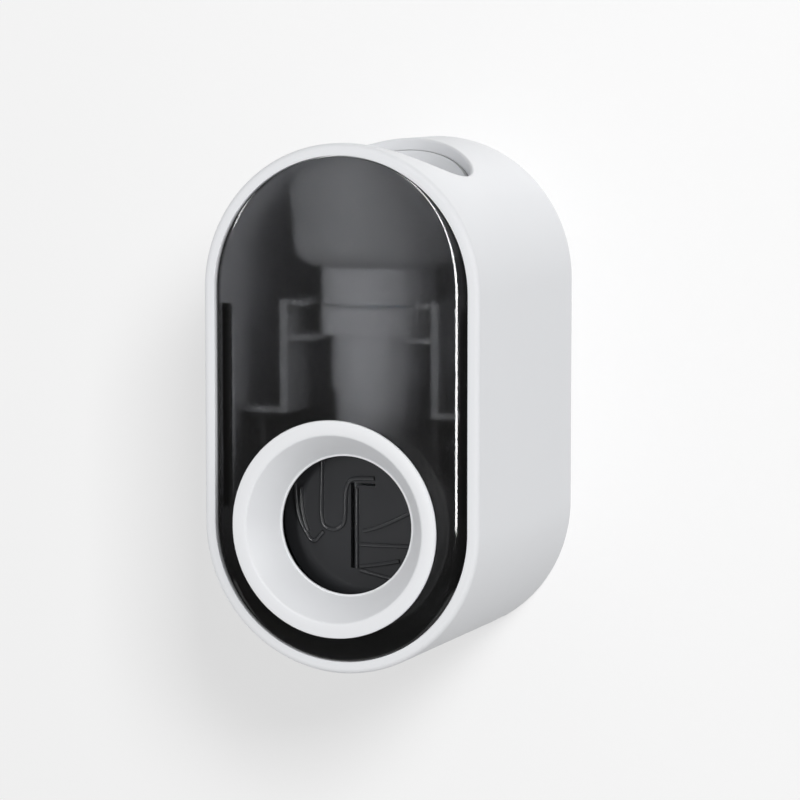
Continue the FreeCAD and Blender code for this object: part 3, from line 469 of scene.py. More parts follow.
@built_once
def cast_tone():
    """Slight tone drift of moulded plastic and a little settled dust on upward faces."""
    graph, inside, outside = new_group(
        "cast_tone",
        [("Colour", COLOUR, (0.8, 0.8, 0.8, 1.0)), ("Drift", FLOAT, 0.03), ("Dust", FLOAT, 0.03)],
        [("Colour", COLOUR, None)],
    )
    place = graph.add("ShaderNodeTexCoord").outputs["Object"]
    amount = graph.math("MULTIPLY", graph.noise(place, 38.0, 5.0), inside["Drift"])
    darker = graph.mix(amount, inside["Colour"], (0.55, 0.55, 0.58, 1.0), "MULTIPLY")
    normal = graph.add("ShaderNodeNewGeometry").outputs["Normal"]
    upward = graph.add("ShaderNodeSeparateXYZ", {0: normal}).outputs["Z"]
    settled = graph.math("MULTIPLY", upward, inside["Dust"], use_clamp=True)
    graph.link(graph.mix(settled, darker, (0.70, 0.69, 0.66, 1.0)), outside["Colour"])
    return graph.tree


def shader_of(material):
    """The surface shader of a material."""
    return material.node_tree.nodes["Principled BSDF"]


def plastic(name, colour, roughness, spread, grain_scale, grain_depth, drift=0.04, dust=0.02, gloss=0.5):
    """A moulded plastic: tone drift, varying roughness and a fine grain in the bump."""
    if name in bpy.data.materials:
        return bpy.data.materials[name]
    material = bpy.data.materials.new(name)
    material.use_nodes = True
    graph = Graph(material.node_tree)
    tone = graph.add(
        "ShaderNodeGroup", {"Colour": (*colour, 1.0), "Drift": drift, "Dust": dust}, node_tree=cast_tone()
    )
    grain = graph.add(
        "ShaderNodeGroup",
        {"Grain Scale": grain_scale, "Roughness": roughness, "Roughness Spread": spread},
        node_tree=moulded_grain(),
    )
    bump = graph.add(
        "ShaderNodeBump", {"Strength": 1.0, "Distance": grain_depth, "Height": grain.outputs["Height"]}
    )
    shader = shader_of(material)
    graph.link(tone.outputs["Colour"], shader.inputs["Base Color"])
    graph.link(grain.outputs["Roughness"], shader.inputs["Roughness"])
    graph.link(bump.outputs["Normal"], shader.inputs["Normal"])
    shader.inputs["Specular IOR Level"].default_value = gloss
    return material


def finishes():
    """The colours set in the sidebar."""
    return bpy.context.scene.dispenser_finish


def shell_plastic():
    """Satin white of the casing."""
    return plastic("shell_plastic", finishes().shell, 0.6, 0.10, 2200.0, 0.000006, gloss=0.25)


def ring_plastic():
    """Glossier white of the brush ring."""
    return plastic("ring_plastic", finishes().shell, 0.34, 0.08, 2600.0, 0.000004)


def inner_plastic():
    """Pale plastic of the pump."""
    return plastic("pump_plastic", finishes().inner, 0.5, 0.12, 3200.0, 0.000012)


def frame_plastic():
    """Grey plastic of the frame and the bracket, darkened partly as painted shade of the dim space behind
    the pump.
    """
    return plastic("frame_plastic", finishes().frame, 0.55, 0.12, 2800.0, 0.000014)


@built_once
def inside_tone():
    """Painted light: a paler colour where a wall faces the upright axis of the tube cup."""
    graph, inside, outside = new_group(
        "inside_tone",
        [("Colour", COLOUR, (0.6, 0.6, 0.6, 1.0)), ("Inside", COLOUR, (0.8, 0.8, 0.8, 1.0))],
        [("Colour", COLOUR, None)],
    )
    place = graph.add("ShaderNodeTexCoord").outputs
    offset = graph.vector("SUBTRACT", place["Object"], (0.0, TUBE_Y, 0.0))
    level = graph.vector("MULTIPLY", offset, (1.0, 1.0, 0.0))
    outward = graph.vector("DOT_PRODUCT", level, place["Normal"], "Value")
    facing_in = graph.math("LESS_THAN", outward, 0.0)
    graph.link(graph.mix(facing_in, inside["Colour"], inside["Inside"]), outside["Colour"])
    return graph.tree


def cup_plastic():
    """Grey cup whose bowl is painted as pale as the casing around it as painted light; the outer grey is
    partly painted shade.
    """
    material = plastic("cup_plastic", finishes().cup, 0.5, 0.12, 3000.0, 0.00001)
    graph = Graph(material.node_tree)
    base = shader_of(material).inputs["Base Color"]
    bowl = graph.add(
        "ShaderNodeGroup",
        {"Inside": (*finishes().bowl, 1.0), "Colour": base.links[0].from_socket},
        node_tree=inside_tone(),
    )
    graph.link(bowl.outputs["Colour"], base)
    return material


def paddle_plastic():
    """Polished black of the paddle."""
    return plastic("paddle_plastic", finishes().paddle, 0.15, 0.05, 900.0, 0.000002, drift=0.2, dust=0.01)


def guard_plastic():
    """Matte black of the trough round the paddle, near black as painted shade of the dim lower inside."""
    return plastic("guard_plastic", finishes().guard, 0.55, 0.12, 3600.0, 0.00002, drift=0.2, dust=0.01)


def silicone_rubber():
    """Milky silicone that lets a little light in."""
    material = plastic("seal_silicone", finishes().silicone, 0.55, 0.1, 1500.0, 0.00001)
    shader = shader_of(material)
    shader.inputs["Subsurface Weight"].default_value = 0.25
    shader.inputs["Subsurface Scale"].default_value = 0.002
    return material


@built_once
def smoke_depth():
    """Colour of the smoked panel: black where it is covered, and darker towards the bottom as painted shade
    of the dim lower inside.
    """
    graph, inside, outside = new_group(
        "smoke_depth",
        [
            ("Colour", COLOUR, (0.3, 0.3, 0.3, 1.0)),
            ("Fade Top", FLOAT, -0.012),
            ("Fade Bottom", FLOAT, -0.045),
            ("Deepest", FLOAT, 0.2),
        ],
        [("Colour", COLOUR, None)],
    )
    place = graph.add("ShaderNodeTexCoord").outputs["Object"]
    # Painted shade: the see-through colour darkens from Fade Top down to Fade Bottom.
    fade = graph.add(
        "ShaderNodeMapRange",
        {
            "Value": graph.add("ShaderNodeSeparateXYZ", {0: place}).outputs["Z"],
            "From Min": inside["Fade Bottom"],
            "From Max": inside["Fade Top"],
            "To Min": inside["Deepest"],
            "To Max": 1.0,
        },
        interpolation_type="SMOOTHSTEP",
    )
    drift = graph.add(
        "ShaderNodeMapRange", {"Value": graph.noise(place, 30.0), "To Min": 0.9, "To Max": 1.1}
    )
    cover = graph.add("ShaderNodeAttribute", attribute_name="cover").outputs["Fac"]
    amount = graph.math("MULTIPLY", fade.outputs["Result"], graph.math("SUBTRACT", 1.0, cover))
    shade = graph.math("MULTIPLY", amount, drift.outputs["Result"])
    smoke = graph.add("ShaderNodeVectorMath", {0: inside["Colour"], "Scale": shade}, operation="SCALE")
    graph.link(smoke.outputs[0], outside["Colour"])
    return graph.tree


def smoked_panel():
    """See-through dark panel: a hazy body under a polished coat; lamps reach in through it."""
    material = plastic(
        "smoked_acrylic", finishes().panel, 0.37, 0.05, 500.0, 0.0000002, drift=0.02, dust=0.0
    )
    graph = Graph(material.node_tree)
    shader = shader_of(material)
    base = shader.inputs["Base Color"]
    # The panel's colour is darkened towards its bottom as painted shade.
    smoke = graph.add(
        "ShaderNodeGroup", {"Colour": base.links[0].from_socket}, node_tree=smoke_depth()
    )
    graph.link(smoke.outputs["Colour"], base)
    path = graph.add("ShaderNodeLightPath")
    solid = graph.math("MULTIPLY_ADD", path.outputs["Is Shadow Ray"], -0.6, 1.0)
    graph.link(solid, shader.inputs["Alpha"])
    shader.inputs["Transmission Weight"].default_value = 1.0
    shader.inputs["IOR"].default_value = 1.1
    shader.inputs["Coat Weight"].default_value = 1.0
    shader.inputs["Coat Roughness"].default_value = 0.03
    return material


def foam_tape():
    """Closed-cell foam: rounded cells in the bump."""
    material = plastic("foam_tape", finishes().foam, 0.85, 0.1, 1200.0, 0.00002, drift=0.12)
    graph = Graph(material.node_tree)
    place = graph.add("ShaderNodeTexCoord").outputs["Object"]
    cells = graph.add("ShaderNodeTexVoronoi", {"Vector": place, "Scale": 1800.0})
    bump = shader_of(material).inputs["Normal"].links[0].from_node
    bump.inputs["Distance"].default_value = 0.00012
    graph.link(cells.outputs["Distance"], bump.inputs["Height"])
    return material


def steel(name, colour, roughness, spread):
    """Metal whose gloss varies with its fine grain."""
    material = plastic(name, colour, roughness, spread, 1400.0, 0.000006, drift=0.15, dust=0.0)
    shader_of(material).inputs["Metallic"].default_value = 1.0
    return material


def drawn_steel():
    """Bright steel of the spring, the pins and the retaining ring."""
    return steel("drawn_steel", finishes().steel, 0.30, 0.22)


def blackened_steel():
    """Dark screws that don't shine through the panel."""
    return steel("blackened_steel", finishes().screw, 0.45, 0.15)


# Pieces

def case_sizes():
    """Radius, half span, front and back of the casing."""
    radius = (CASE_HIGH.x - CASE_LOW.x) / 2
    half_span = (CASE_HIGH.z - CASE_LOW.z) / 2 - radius
    return radius, half_span, CASE_LOW.y, CASE_HIGH.y


def case_shell(shape):
    """Hollow stadium shell with rounded rims."""
    radius, half_span, front, back = case_sizes()
    inner_back = back - shape.case_back_wall
    outer = soft_outline(
        [
            (radius, back, 0.0),
            (0.0, back, shape.case_rear_round),
            (0.0, front, shape.case_front_round),
            (shape.case_wall, front, shape.case_inner_round),
            (shape.case_wall, inner_back, 0.0),
            (radius, inner_back, 0.0),
        ],
        7,
    )
    section = [Vector((shape.case_rear_round + SUPPORT, back))] + outer[1:-1]
    loops = []
    for n, (inset, y) in enumerate(section):
        if n and abs(y - section[n - 1].y) > LONG_RUN:
            for m in range(1, DEPTH_STEPS):
                between = section[n - 1].lerp(section[n], m / DEPTH_STEPS)
                loops.append(stadium(radius - between.x, half_span, between.y))
        loops.append(stadium(radius - inset, half_span, y))
    return capped("case_shell", loops)


def tube_hole_cutter(shape):
    """Upright plug whose top flares, so that the cut leaves a rounded edge on the arch."""
    radius, half_span, _, _ = case_sizes()
    hole = shape.tube_hole_radius
    rounding = shape.tube_hole_round
    centre_r = hole + rounding
    reach = rounding + SEAM
    loops = [[] for _ in range(FLARE_STEPS + 3)]
    for across, along in circle(ROUND_STEPS):
        arch = math.sqrt(radius**2 - (centre_r * across) ** 2)
        slope = -centre_r * across**2 / arch
        centre_z = half_span + arch - rounding * math.hypot(1.0, slope)
        end = math.atan2(1.0, -slope)
        profile = [(hole, half_span), (hole, centre_z - rounding)]
        for m in range(FLARE_STEPS):
            turn = math.pi + (end - math.pi) * (m + 1) / FLARE_STEPS
            profile.append((centre_r + reach * math.cos(turn), centre_z + reach * math.sin(turn)))
        profile.append((profile[-1][0] + rounding, half_span + radius + CUT_PAST))
        for loop, (r, z) in zip(loops, profile):
            loop.append(Vector((r * across, TUBE_Y + r * along, z)))
    return capped("tube_hole_cutter", loops)


def channel_cutter(shape):
    """Dovetail prism of the bracket channel, open at the bottom."""
    behind = 2 * MM
    outline = [
        (-shape.channel_mouth, behind),
        (-shape.channel_mouth, -CHANNEL_LIP),
        (-shape.channel_half, -shape.channel_depth),
        (shape.channel_half, -shape.channel_depth),
        (shape.channel_mouth, -CHANNEL_LIP),
        (shape.channel_mouth, behind),
    ]
    heights = (CASE_LOW.z - CUT_PAST, shape.channel_top)
    return capped("channel_cutter", [[Vector((x, y, z)) for x, y in outline] for z in heights])


def channel_housing(shape):
    """Thick block inside the back wall that the channel is cut into."""
    radius, half_span, _, back = case_sizes()
    half = shape.channel_half + shape.channel_wall
    reach = radius - shape.case_wall + SEAM
    start = math.asin(half / reach)
    outline = [(-half, shape.channel_top + shape.channel_wall)]
    for n in range(FOOT_STEPS + 1):
        turn = -start + 2 * start * n / FOOT_STEPS
        outline.append((reach * math.sin(turn), -half_span - reach * math.cos(turn)))
    outline.append((half, shape.channel_top + shape.channel_wall))
    depths = (back - shape.case_back_wall + SEAM, -shape.channel_depth - shape.channel_wall)
    return capped("channel_housing", [[Vector((x, y, z)) for x, z in outline] for y in depths])


def case_fittings(shape):
    """Screw bosses and the stops behind the panel's skirts."""
    radius, half_span, _, back = case_sizes()
    screws_low, screws_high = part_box("frame_screws")
    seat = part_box("inner_frame")[1].y
    span = back - shape.case_back_wall - seat
    mesh = bmesh.new()
    for x in (screws_low.x + SCREW_HEAD, screws_high.x - SCREW_HEAD):
        for z in (screws_low.z + SCREW_HEAD, screws_high.z - SCREW_HEAD):
            soft_bar(mesh, "Y", (x, seat, z), BOSS_RADIUS, span, SOFT_EDGE)
    inner = PANEL_HIGH.x - SKIRT_INSET - shape.skirt_thickness
    wall = radius - shape.case_wall / 2
    front = PANEL_HIGH.y + STOP_GAP
    half = half_span - STOP_INSET
    for side in SIDES:
        low, high = sorted((side * inner, side * wall))
        soft_box(mesh, (low, front, -half), (high, front + STOP_DEPTH, half), SOFT_EDGE)
    return finished("case_fittings", mesh)


class DISPENSER_OT_casing(Operator):
    """Build the white casing with its tube hole, bosses and bracket channel"""

    bl_idname = "dispenser.casing"
    bl_label = "Casing"

    def execute(self, context):
        shape = context.scene.dispenser_shape
        shell = case_shell(shape)
        carve(shell, tube_hole_cutter(shape))
        carve(shell, channel_cutter(shape))
        housing = channel_housing(shape)
        carve(housing, channel_cutter(shape))
        casing = merge("casing_shell", [shell, housing, case_fittings(shape)])
        dress(casing, "casing_body", ["casing"], shell_plastic())
        return {"FINISHED"}


class DISPENSER_OT_front_panel(Operator):
    """Build the smoked front panel with its bevel, ring hole and side skirts"""

    bl_idname = "dispenser.front_panel"
    bl_label = "Front Panel"

    def execute(self, context):
        shape = context.scene.dispenser_shape
        radius = (PANEL_HIGH.x - PANEL_LOW.x) / 2
        half_span = (PANEL_HIGH.z - PANEL_LOW.z) / 2 - radius
        face = case_sizes()[2] + shape.panel_recess
        back = face + shape.panel_thickness
        mesh = bmesh.new()
        cover = mesh.verts.layers.float.new("cover")
        section = self.section(shape, radius, face, back)
        rows = skin(mesh, [self.bevel_loop(point, radius, half_span, face, back) for point in section])
        for point, row in zip(section, rows):
            at_edge = point.x < COVER_BAND and point.y < back - COVER_START
            for vert in row:
                vert[cover] = float(at_edge)
        self.close_faces(mesh, rows, face, back)
        plain = set(mesh.verts)
        half = half_span - SKIRT_SHORT
        outer = radius - SKIRT_INSET
        for side in SIDES:
            low, high = sorted((side * outer, side * (outer - shape.skirt_thickness)))
            soft_box(mesh, (low, back, -half), (high, PANEL_HIGH.y, half), PANEL_EDGE)
        for vert in mesh.verts:
            if vert not in plain:
                vert[cover] = 1.0
        panel = finished("smoked_front", mesh, 20.0)
        dress(panel, "front_cover", ["front_panel"], smoked_panel())
        return {"FINISHED"}

    def section(self, shape, radius, face, back):
        """Inset and depth along the panel's edge, from its back to its face."""
        slant = math.atan(shape.bevel_drop / shape.bevel_width)
        corners = [
            (radius, back, 0.0),
            (0.0, back, PANEL_EDGE),
            (0.0, face + shape.bevel_drop, PANEL_EDGE),
            (shape.bevel_width, face, shape.bevel_blend / slant),
            (radius, face, 0.0),
        ]
        return soft_outline(corners, 10)[1:-1]

    def bevel_loop(self, point, radius, half_span, face, back):
        """One loop of the edge; the bevel is full along the sides and fades round the ends."""
        loop = stadium(radius, half_span, point.y)
        inner = stadium(radius - point.x, half_span, point.y)
        if point.y > (face + back) / 2:
            return inner
        result = []
        for outside, inside, share in zip(loop, inner, side_share()):
            place = outside.lerp(inside, share)
            place.y = face + (point.y - face) * share
            result.append(place)
        return result

    def close_faces(self, mesh, rows, face, back):
        """Fill the back and the face round the ring's hole, and line the hole."""
        hole = RING_HIGH.x - PANEL_HOLE_INSET
        rims = []
        for row, y in ((rows[0], back), (rows[-1], face)):
            rim = []
            for across, up in circle(HOLE_STEPS):
                rim.append(mesh.verts.new((hole * across, y, RING_Z + hole * up)))
            edges = [mesh.edges.new((rim[n - 1], rim[n])) for n in range(HOLE_STEPS)]
            edges.extend(mesh.edges.get((row[n - 1], row[n])) for n in range(len(row)))
            bmesh.ops.triangle_fill(mesh, use_beauty=True, edges=edges)
            rims.append(rim)
        for n in range(HOLE_STEPS):
            mesh.faces.new((rims[0][n - 1], rims[0][n], rims[1][n], rims[1][n - 1]))


class DISPENSER_OT_brush_ring(Operator):
    """Build the dished ring round the brush hole"""

    bl_idname = "dispenser.brush_ring"
    bl_label = "Brush Ring"

    def execute(self, context):
        shape = context.scene.dispenser_shape
        radius = (RING_HIGH.x - RING_LOW.x) / 2
        front = RING_LOW.y
        back = RING_HIGH.y
        seat = case_sizes()[2] + shape.panel_recess
        panel_back = seat + shape.panel_thickness
        soft = shape.ring_round
        neck = radius - NECK_INSET
        groove = neck - GROOVE_DEPTH
        groove_back = panel_back + GROOVE_WIDTH
        ledge = back - LEDGE_HEIGHT
        outline = soft_outline(
            [
                (shape.ring_bore, back, soft),
                (neck, back, soft),
                (neck, groove_back, 0.0),
                (groove, groove_back, 0.0),
                (groove, panel_back, 0.0),
                (neck, panel_back, 0.0),
                (neck, seat, 0.0),
                (radius - FOOT_INSET, seat, 0.0),
                (radius, front + LIP_EDGE, soft),
                (radius, front, soft),
                (radius - shape.ring_lip, front, 2 * soft),
                (shape.ring_bore + LEDGE_WIDTH, ledge, 0.1 * MM),
                (shape.ring_bore, ledge, 0.15 * MM),
            ],
            6,
        )
        mesh = bmesh.new()
        loops = []
        for across, up in circle(ROUND_STEPS):
            loops.append([Vector((r * across, y, RING_Z + r * up)) for r, y in outline])
        skin(mesh, loops, closed=True)
        ring = finished("dished_ring", mesh)
        dress(ring, "front_cover", ["brush_ring"], ring_plastic())
        return {"FINISHED"}


def rib(name, points, radius):
    """A rounded rib along a smooth line of points."""
    curve = bpy.data.curves.new(name, "CURVE")
    curve.dimensions = "3D"
    curve.bevel_depth = radius
    curve.bevel_resolution = 4
    curve.use_fill_caps = True
    line = curve.splines.new("NURBS")
    line.points.add(len(points) - 1)
    for point, place in zip(line.points, points):
        point.co = (*place, 1.0)
    line.order_u = 3
    line.use_endpoint_u = True
    line.resolution_u = 10
    holder = placed(name, curve)
    data = evaluated_mesh(holder)
    bpy.data.objects.remove(holder)
    return placed(name, data)


# Middle lines of the paddle's ribs, in millimetres across and up from the ring's middle
PADDLE_RIBS = {
    "bend": [(-7.9, 13.6), (-8.0, 6.6), (-8.2, 1.1), (-7.6, -1.4), (-5.0, -2.1), (-2.9, -0.8), (-2.5, 2.0),
             (-2.5, 6.5), (-1.7, 9.0), (0.5, 9.6), (4.2, 9.6)],
    "brace_outer": [(-14.2, 7.8), (-14.1, 1.9), (-11.3, -3.6), (-9.9, -4.9), (-8.7, -3.7), (-7.6, -2.4)],
    "brace_inner": [(-12.8, 7.0), (-13.0, 1.6), (-11.3, -2.4)],
    "sweep_high": [(1.6, -1.9), (5.0, -1.0), (8.7, 0.7), (12.4, 2.5)],
    "sweep_low": [(0.9, -4.8), (3.9, -4.9), (12.5, -4.7)],
    "shelf_high": [(0.9, -9.6), (3.9, -9.3), (10.0, -8.0)],
    "shelf_low": [(0.9, -10.4), (4.2, -11.2), (8.6, -12.0)],
    "slot_edge": [(0.15, 7.3), (0.15, 0.0), (0.15, -10.0)],
}

# Opposite corners of the paddle's slots, measured the same way
PADDLE_SLOTS = (((-1.3, -10.0), (-0.2, 8.5)), ((-1.3, 7.9), (4.4, 8.5)))
RIB_STAND = 0.1 * MM  # how far a rib's middle line stands before the paddle's face


class DISPENSER_OT_push_paddle(Operator):
    """Build the dark paddle with its slot, ribs, hubs and lifting arms"""

    bl_idname = "dispenser.push_paddle"
    bl_label = "Push Paddle"

    def execute(self, context):
        shape = context.scene.dispenser_shape
        radius = (PADDLE_HIGH.x - PADDLE_LOW.x) / 2
        face = case_sizes()[2] + PADDLE_DEPTH
        back = face + shape.paddle_thickness
        disc = self.disc(radius, face, back)
        for low, high in PADDLE_SLOTS:
            carve(disc, self.slot_cutter(low, high, face, back))
        pieces = [disc, self.arms(face, back)]
        for name, line in PADDLE_RIBS.items():
            points = [Vector((x * MM, face - RIB_STAND, RING_Z + z * MM)) for x, z in line]
            pieces.append(rib(name, points, shape.rib_radius))
        paddle = merge("ribbed_paddle", pieces)
        dress(paddle, "paddle", ["push_paddle"], paddle_plastic())
        return {"FINISHED"}

    def disc(self, radius, face, back):
        """Round disc with softened edges and a flat across its top."""
        top = PIVOT_Z - FLAT_DROP
        corners = [
            (radius, face, 0.0), (0.0, face, PADDLE_EDGE), (0.0, back, PADDLE_EDGE), (radius, back, 0.0)
        ]
        flat = PADDLE_EDGE + SUPPORT
        section = [Vector((flat, face)), *soft_outline(corners)[1:-1], Vector((flat, back))]
        loops = []
        for inset, y in section:
            loop = []
            for across, up in circle(ROUND_STEPS):
                z = RING_Z + (radius - inset) * up
                loop.append(Vector(((radius - inset) * across, y, min(z, top - inset))))
            loops.append(loop)
        return capped("paddle_disc", loops)

    def slot_cutter(self, low, high, face, back):
        """Block that goes through the disc from corner to corner."""
        mesh = bmesh.new()
        start = (low[0] * MM, face - 1 * MM, RING_Z + low[1] * MM)
        end = (high[0] * MM, back + 1 * MM, RING_Z + high[1] * MM)
        soft_box(mesh, start, end, 0.12 * MM)
        return finished("slot_cutter", mesh)

    def arms(self, face, back):
        """Hubs on the pins, webs to the disc and the lifting arms behind, one set on each side."""
        tip = PIVOT_Z - TIP_DROP
        behind, deeper = 0.2 * MM, 0.3 * MM
        mesh = bmesh.new()
        for side in SIDES:
            low, high = sorted((side * ARM_INNER, side * ARM_OUTER))
            wide = high - low
            boxes = [
                ((face + behind, RING_Z + WEB_FOOT), (back - behind, PIVOT_Z)),
                ((face + deeper, tip - 1.0 * MM), (PIVOT_Y + HUB_RADIUS, PIVOT_Z)),
                ((PIVOT_Y, tip - 0.95 * MM), (TUBE_Y, tip + 0.9 * MM)),
            ]
            soft_bar(mesh, "X", (low, PIVOT_Y, PIVOT_Z), HUB_RADIUS, wide, 0.25 * MM)
            for start, end in boxes:
                soft_box(mesh, (low, *start), (high, *end), SOFT_EDGE)
            soft_bar(mesh, "X", (low, TUBE_Y, tip), TIP_RADIUS, wide, 0.15 * MM)
        return finished("paddle_arms", mesh)


class DISPENSER_OT_return_spring(Operator):
    """Build the coil spring at one length; the real spring shortens as the plunger rises"""

    bl_idname = "dispenser.return_spring"
    bl_label = "Return Spring"

    def execute(self, context):
        shape = context.scene.dispenser_shape
        wire = shape.spring_wire / 2
        radius = (SPRING_HIGH.x - SPRING_LOW.x) / 2 - wire
        tall = SPRING_HIGH.z - SPRING_LOW.z
        low = SPRING_LOW.z + wire
        rise = tall - 2 * wire
        count = int(shape.spring_turns * COIL_STEPS)
        points = []
        for n in range(count + 1):
            turn = 2 * math.pi * shape.spring_turns * n / count
            across, along = radius * math.cos(turn), radius * math.sin(turn)
            points.append(Vector((across, TUBE_Y + along, low + rise * n / count)))
        spring = rib("coil_spring", points, wire)
        spring.data.shade_smooth()
        dress(spring, "casing_body", ["return_spring"], drawn_steel())
        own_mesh(spring)
        return {"FINISHED"}


class DISPENSER_OT_inner_pieces(Operator):
    """Give the pump, the frame, the guard and the fasteners their finishes"""

    bl_idname = "dispenser.inner_pieces"
    bl_label = "Inner Pieces"

    def execute(self, context):
        coat_nodes(["neck_socket", "pump_collar", "pump_body", "plunger", "nozzle"], inner_plastic())
        coat_nodes(["tube_cup"], cup_plastic())
        coat_nodes(["inner_frame", "wall_bracket"], frame_plastic())
        seals = ["neck_sleeve", "neck_seal", "inlet_valve", "outlet_valve", "piston_seal"]
        coat_nodes(seals, silicone_rubber())
        coat_nodes(["pivot_pins", "ring_retainer"], drawn_steel())
        coat_nodes(["frame_screws", "guard_screws"], blackened_steel())
        coat_nodes(["splash_guard"], guard_plastic())
        coat_nodes(["adhesive_pad"], foam_tape())
        return {"FINISHED"}


# Stage

# Azimuth and elevation in degrees, distance, width and height of the lamps
LAMPS = {
    "key": (67, 15, 1.1, 0.8, 0.8),
    "fill": (25, -48, 1.2, 0.9, 0.9),
    "strip": (-11, 2.9, 1.0, 0.09, 0.43),
    "edge": (-42, 14, 1.0, 0.06, 0.3),
    "top": (10, 62, 1.1, 0.8, 0.8),
    "back": (170, 35, 1.2, 0.8, 0.8),
    "wall": (33, 24, 1.1, 0.32, 0.32),
}
LAMP_TARGET = Vector((0.0, -0.03, 0.0))
CAMERA_TARGET = Vector((0.0119, -0.05638, 0.00225))
WALL_BEHIND = 0.2 * MM  # from the back of the object to the wall
WALL_HALF, WALL_TOP, WALL_FOOT = 2.0, 1.5, -0.55
SWEEP_RADIUS, FLOOR_END = 0.25, -2.5
SWEEP_STEPS = 12


def direction(azimuth, elevation):
    """Unit vector from the object, turned from the front to its right."""
    flat = math.cos(elevation)
    return Vector((math.sin(azimuth) * flat, -math.cos(azimuth) * flat, math.sin(elevation)))


def aim(holder, target):
    """Turn a lamp or camera towards a point."""
    away = holder.location - target
    holder.rotation_euler = away.to_track_quat("Z", "Y").to_euler()


def panel_light(name, watts, lit):
    """A rectangular lamp that looks at the object and lights what its collection allows."""
    azimuth, elevation, distance, width, height = LAMPS[name]
    data = bpy.data.lights.new(f"{name}_light", "AREA")
    data.shape = "RECTANGLE"
    data.size, data.size_y = width, height
    data.energy = watts
    holder = placed(f"{name}_light", data)
    towards = direction(math.radians(azimuth), math.radians(elevation))
    holder.location = LAMP_TARGET + towards * distance
    holder.light_linking.receiver_collection = lit
    aim(holder, LAMP_TARGET)


def wall_finish(stage):
    """Pale wall, seen from its front only."""
    material = bpy.data.materials.new("pale_wall")
    material.use_nodes = True
    material.node_tree.nodes.clear()
    graph = Graph(material.node_tree)
    paint = graph.add("ShaderNodeBsdfDiffuse", {"Color": (*stage.wall, 1.0)})
    lift = graph.add("ShaderNodeEmission", {"Strength": stage.wall_lift})
    both = graph.add("ShaderNodeAddShader", {0: paint.outputs[0], 1: lift.outputs[0]})
    shape = graph.add("ShaderNodeNewGeometry")
    clear = graph.add("ShaderNodeBsdfTransparent")
    sides = graph.add(
        "ShaderNodeMixShader",
        {"Fac": shape.outputs["Backfacing"], 1: both.outputs[0], 2: clear.outputs[0]},
    )
    graph.add("ShaderNodeOutputMaterial", {"Surface": sides.outputs[0]})
    return material


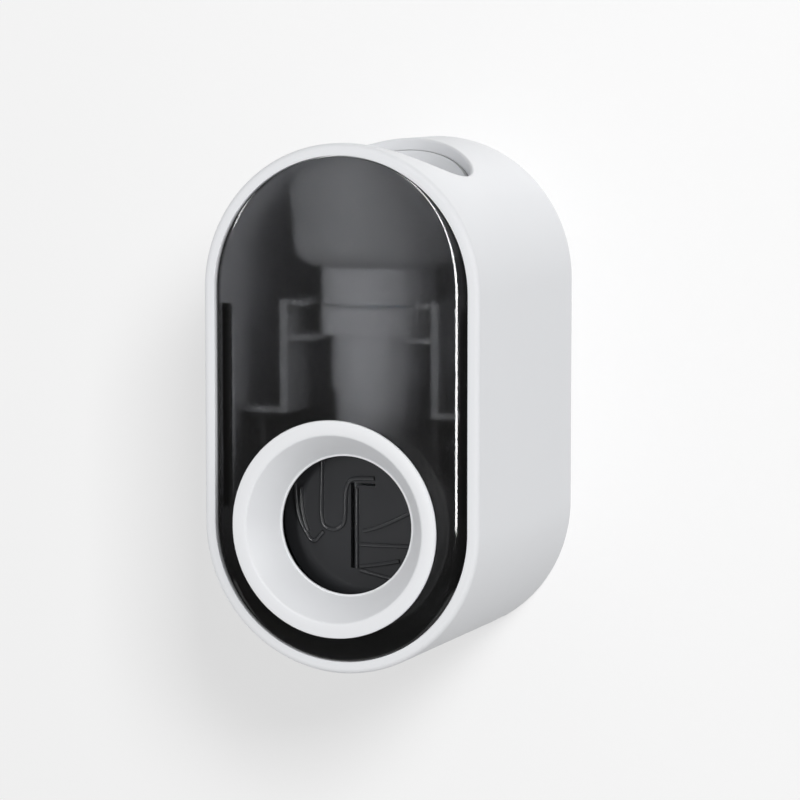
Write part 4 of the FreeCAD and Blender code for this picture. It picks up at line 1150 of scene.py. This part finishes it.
class DISPENSER_OT_stage(Operator):
    """Set up the wall, the lights and the camera"""

    bl_idname = "dispenser.stage"
    bl_label = "Stage"

    def execute(self, context):
        stage = context.scene.dispenser_stage
        wall_alone, all_but_wall = self.light_groups(self.wall(stage))
        for name in LAMPS:
            lit = wall_alone if name == "wall" else all_but_wall
            panel_light(name, getattr(stage, f"{name}_power"), lit)
        self.ambient(context, stage)
        self.camera(context, stage)
        context.scene.view_settings.view_transform = "Standard"
        return {"FINISHED"}

    def wall(self, stage):
        """Wall that sweeps out into a floor far below the dispenser."""
        profile = [(WALL_BEHIND, WALL_TOP), (WALL_BEHIND, WALL_FOOT)]
        for n in range(1, SWEEP_STEPS + 1):
            turn = math.pi / 2 * n / SWEEP_STEPS
            forward, down = SWEEP_RADIUS * (1 - math.cos(turn)), SWEEP_RADIUS * math.sin(turn)
            profile.append((WALL_BEHIND - forward, WALL_FOOT - down))
        profile.append((FLOOR_END, WALL_FOOT - SWEEP_RADIUS))
        mesh = bmesh.new()
        left, right = [
            [mesh.verts.new((x, y, z)) for y, z in profile] for x in (-WALL_HALF, WALL_HALF)
        ]
        for n in range(len(profile) - 1):
            mesh.faces.new((left[n], left[n + 1], right[n + 1], right[n]))
        data = bpy.data.meshes.new("wall_sweep")
        mesh.to_mesh(data)
        mesh.free()
        data.shade_smooth()
        data.materials.append(wall_finish(stage))
        sweep = placed("wall_sweep", data)
        sweep.visible_shadow = False
        sweep.visible_diffuse = False
        return sweep

    def light_groups(self, sweep):
        """Collections for light linking: the wall alone, and everything but the wall."""
        alone = bpy.data.collections.new("wall_alone")
        alone.objects.link(sweep)
        others = bpy.data.collections.new("all_but_wall")
        others.objects.link(sweep)
        others.collection_objects[0].light_linking.link_state = "EXCLUDE"
        return alone, others

    def ambient(self, context, stage):
        """Even light from all round, dimmer where it is only reflected."""
        world = bpy.data.worlds.new("even_light")
        world.use_nodes = True
        graph = Graph(world.node_tree)
        glossy = graph.add("ShaderNodeLightPath").outputs["Is Glossy Ray"]
        inputs = {"Factor": glossy, "A": stage.ambient, "B": stage.glossy_ambient}
        level = graph.add("ShaderNodeMix", inputs, data_type="FLOAT")
        sky = world.node_tree.nodes["Background"]
        sky.inputs["Color"].default_value = (1.0, 1.0, 1.0, 1.0)
        graph.link(level.outputs["Result"], sky.inputs["Strength"])
        context.scene.world = world

    def camera(self, context, stage):
        """Camera at the photograph's viewing angle."""
        data = bpy.data.cameras.new("camera")
        data.sensor_width = 36.0
        data.lens = stage.lens
        data.clip_start = 0.01
        data.dof.use_dof = False
        holder = placed("camera", data)
        holder.location = CAMERA_TARGET + direction(stage.azimuth, stage.elevation) * stage.distance
        aim(holder, CAMERA_TARGET)
        context.scene.camera = holder


class DISPENSER_PT_sidebar(Panel):
    """Lists the dispenser's pieces, sizes and colours"""

    bl_label = "Dispenser"
    bl_idname = "DISPENSER_PT_sidebar"
    bl_space_type = "VIEW_3D"
    bl_region_type = "UI"
    bl_category = "Dispenser"

    def draw(self, context):
        layout = self.layout
        for operator in OPERATORS:
            layout.operator(operator.bl_idname)
        for title, kind in GROUPS.items():
            box = layout.box()
            for name in kind.__annotations__:
                box.prop(getattr(context.scene, title), name)


GROUPS = {
    "dispenser_shape": DispenserShape,
    "dispenser_finish": DispenserFinish,
    "dispenser_stage": DispenserStage,
}
OPERATORS = (
    DISPENSER_OT_casing,
    DISPENSER_OT_front_panel,
    DISPENSER_OT_brush_ring,
    DISPENSER_OT_push_paddle,
    DISPENSER_OT_return_spring,
    DISPENSER_OT_inner_pieces,
    DISPENSER_OT_stage,
)


def register():
    for name, group in GROUPS.items():
        bpy.utils.register_class(group)
        setattr(bpy.types.Scene, name, PointerProperty(type=group))
    for operator in OPERATORS:
        bpy.utils.register_class(operator)
    bpy.utils.register_class(DISPENSER_PT_sidebar)


def unregister():
    bpy.utils.unregister_class(DISPENSER_PT_sidebar)
    for operator in reversed(OPERATORS):
        bpy.utils.unregister_class(operator)
    for name, group in reversed(GROUPS.items()):
        delattr(bpy.types.Scene, name)
        bpy.utils.unregister_class(group)


def main():
    register()
    bpy.ops.dispenser.casing()
    bpy.ops.dispenser.front_panel()
    bpy.ops.dispenser.brush_ring()
    bpy.ops.dispenser.push_paddle()
    bpy.ops.dispenser.return_spring()
    bpy.ops.dispenser.inner_pieces()
    bpy.ops.dispenser.stage()


if __name__ == "__main__":
    main()
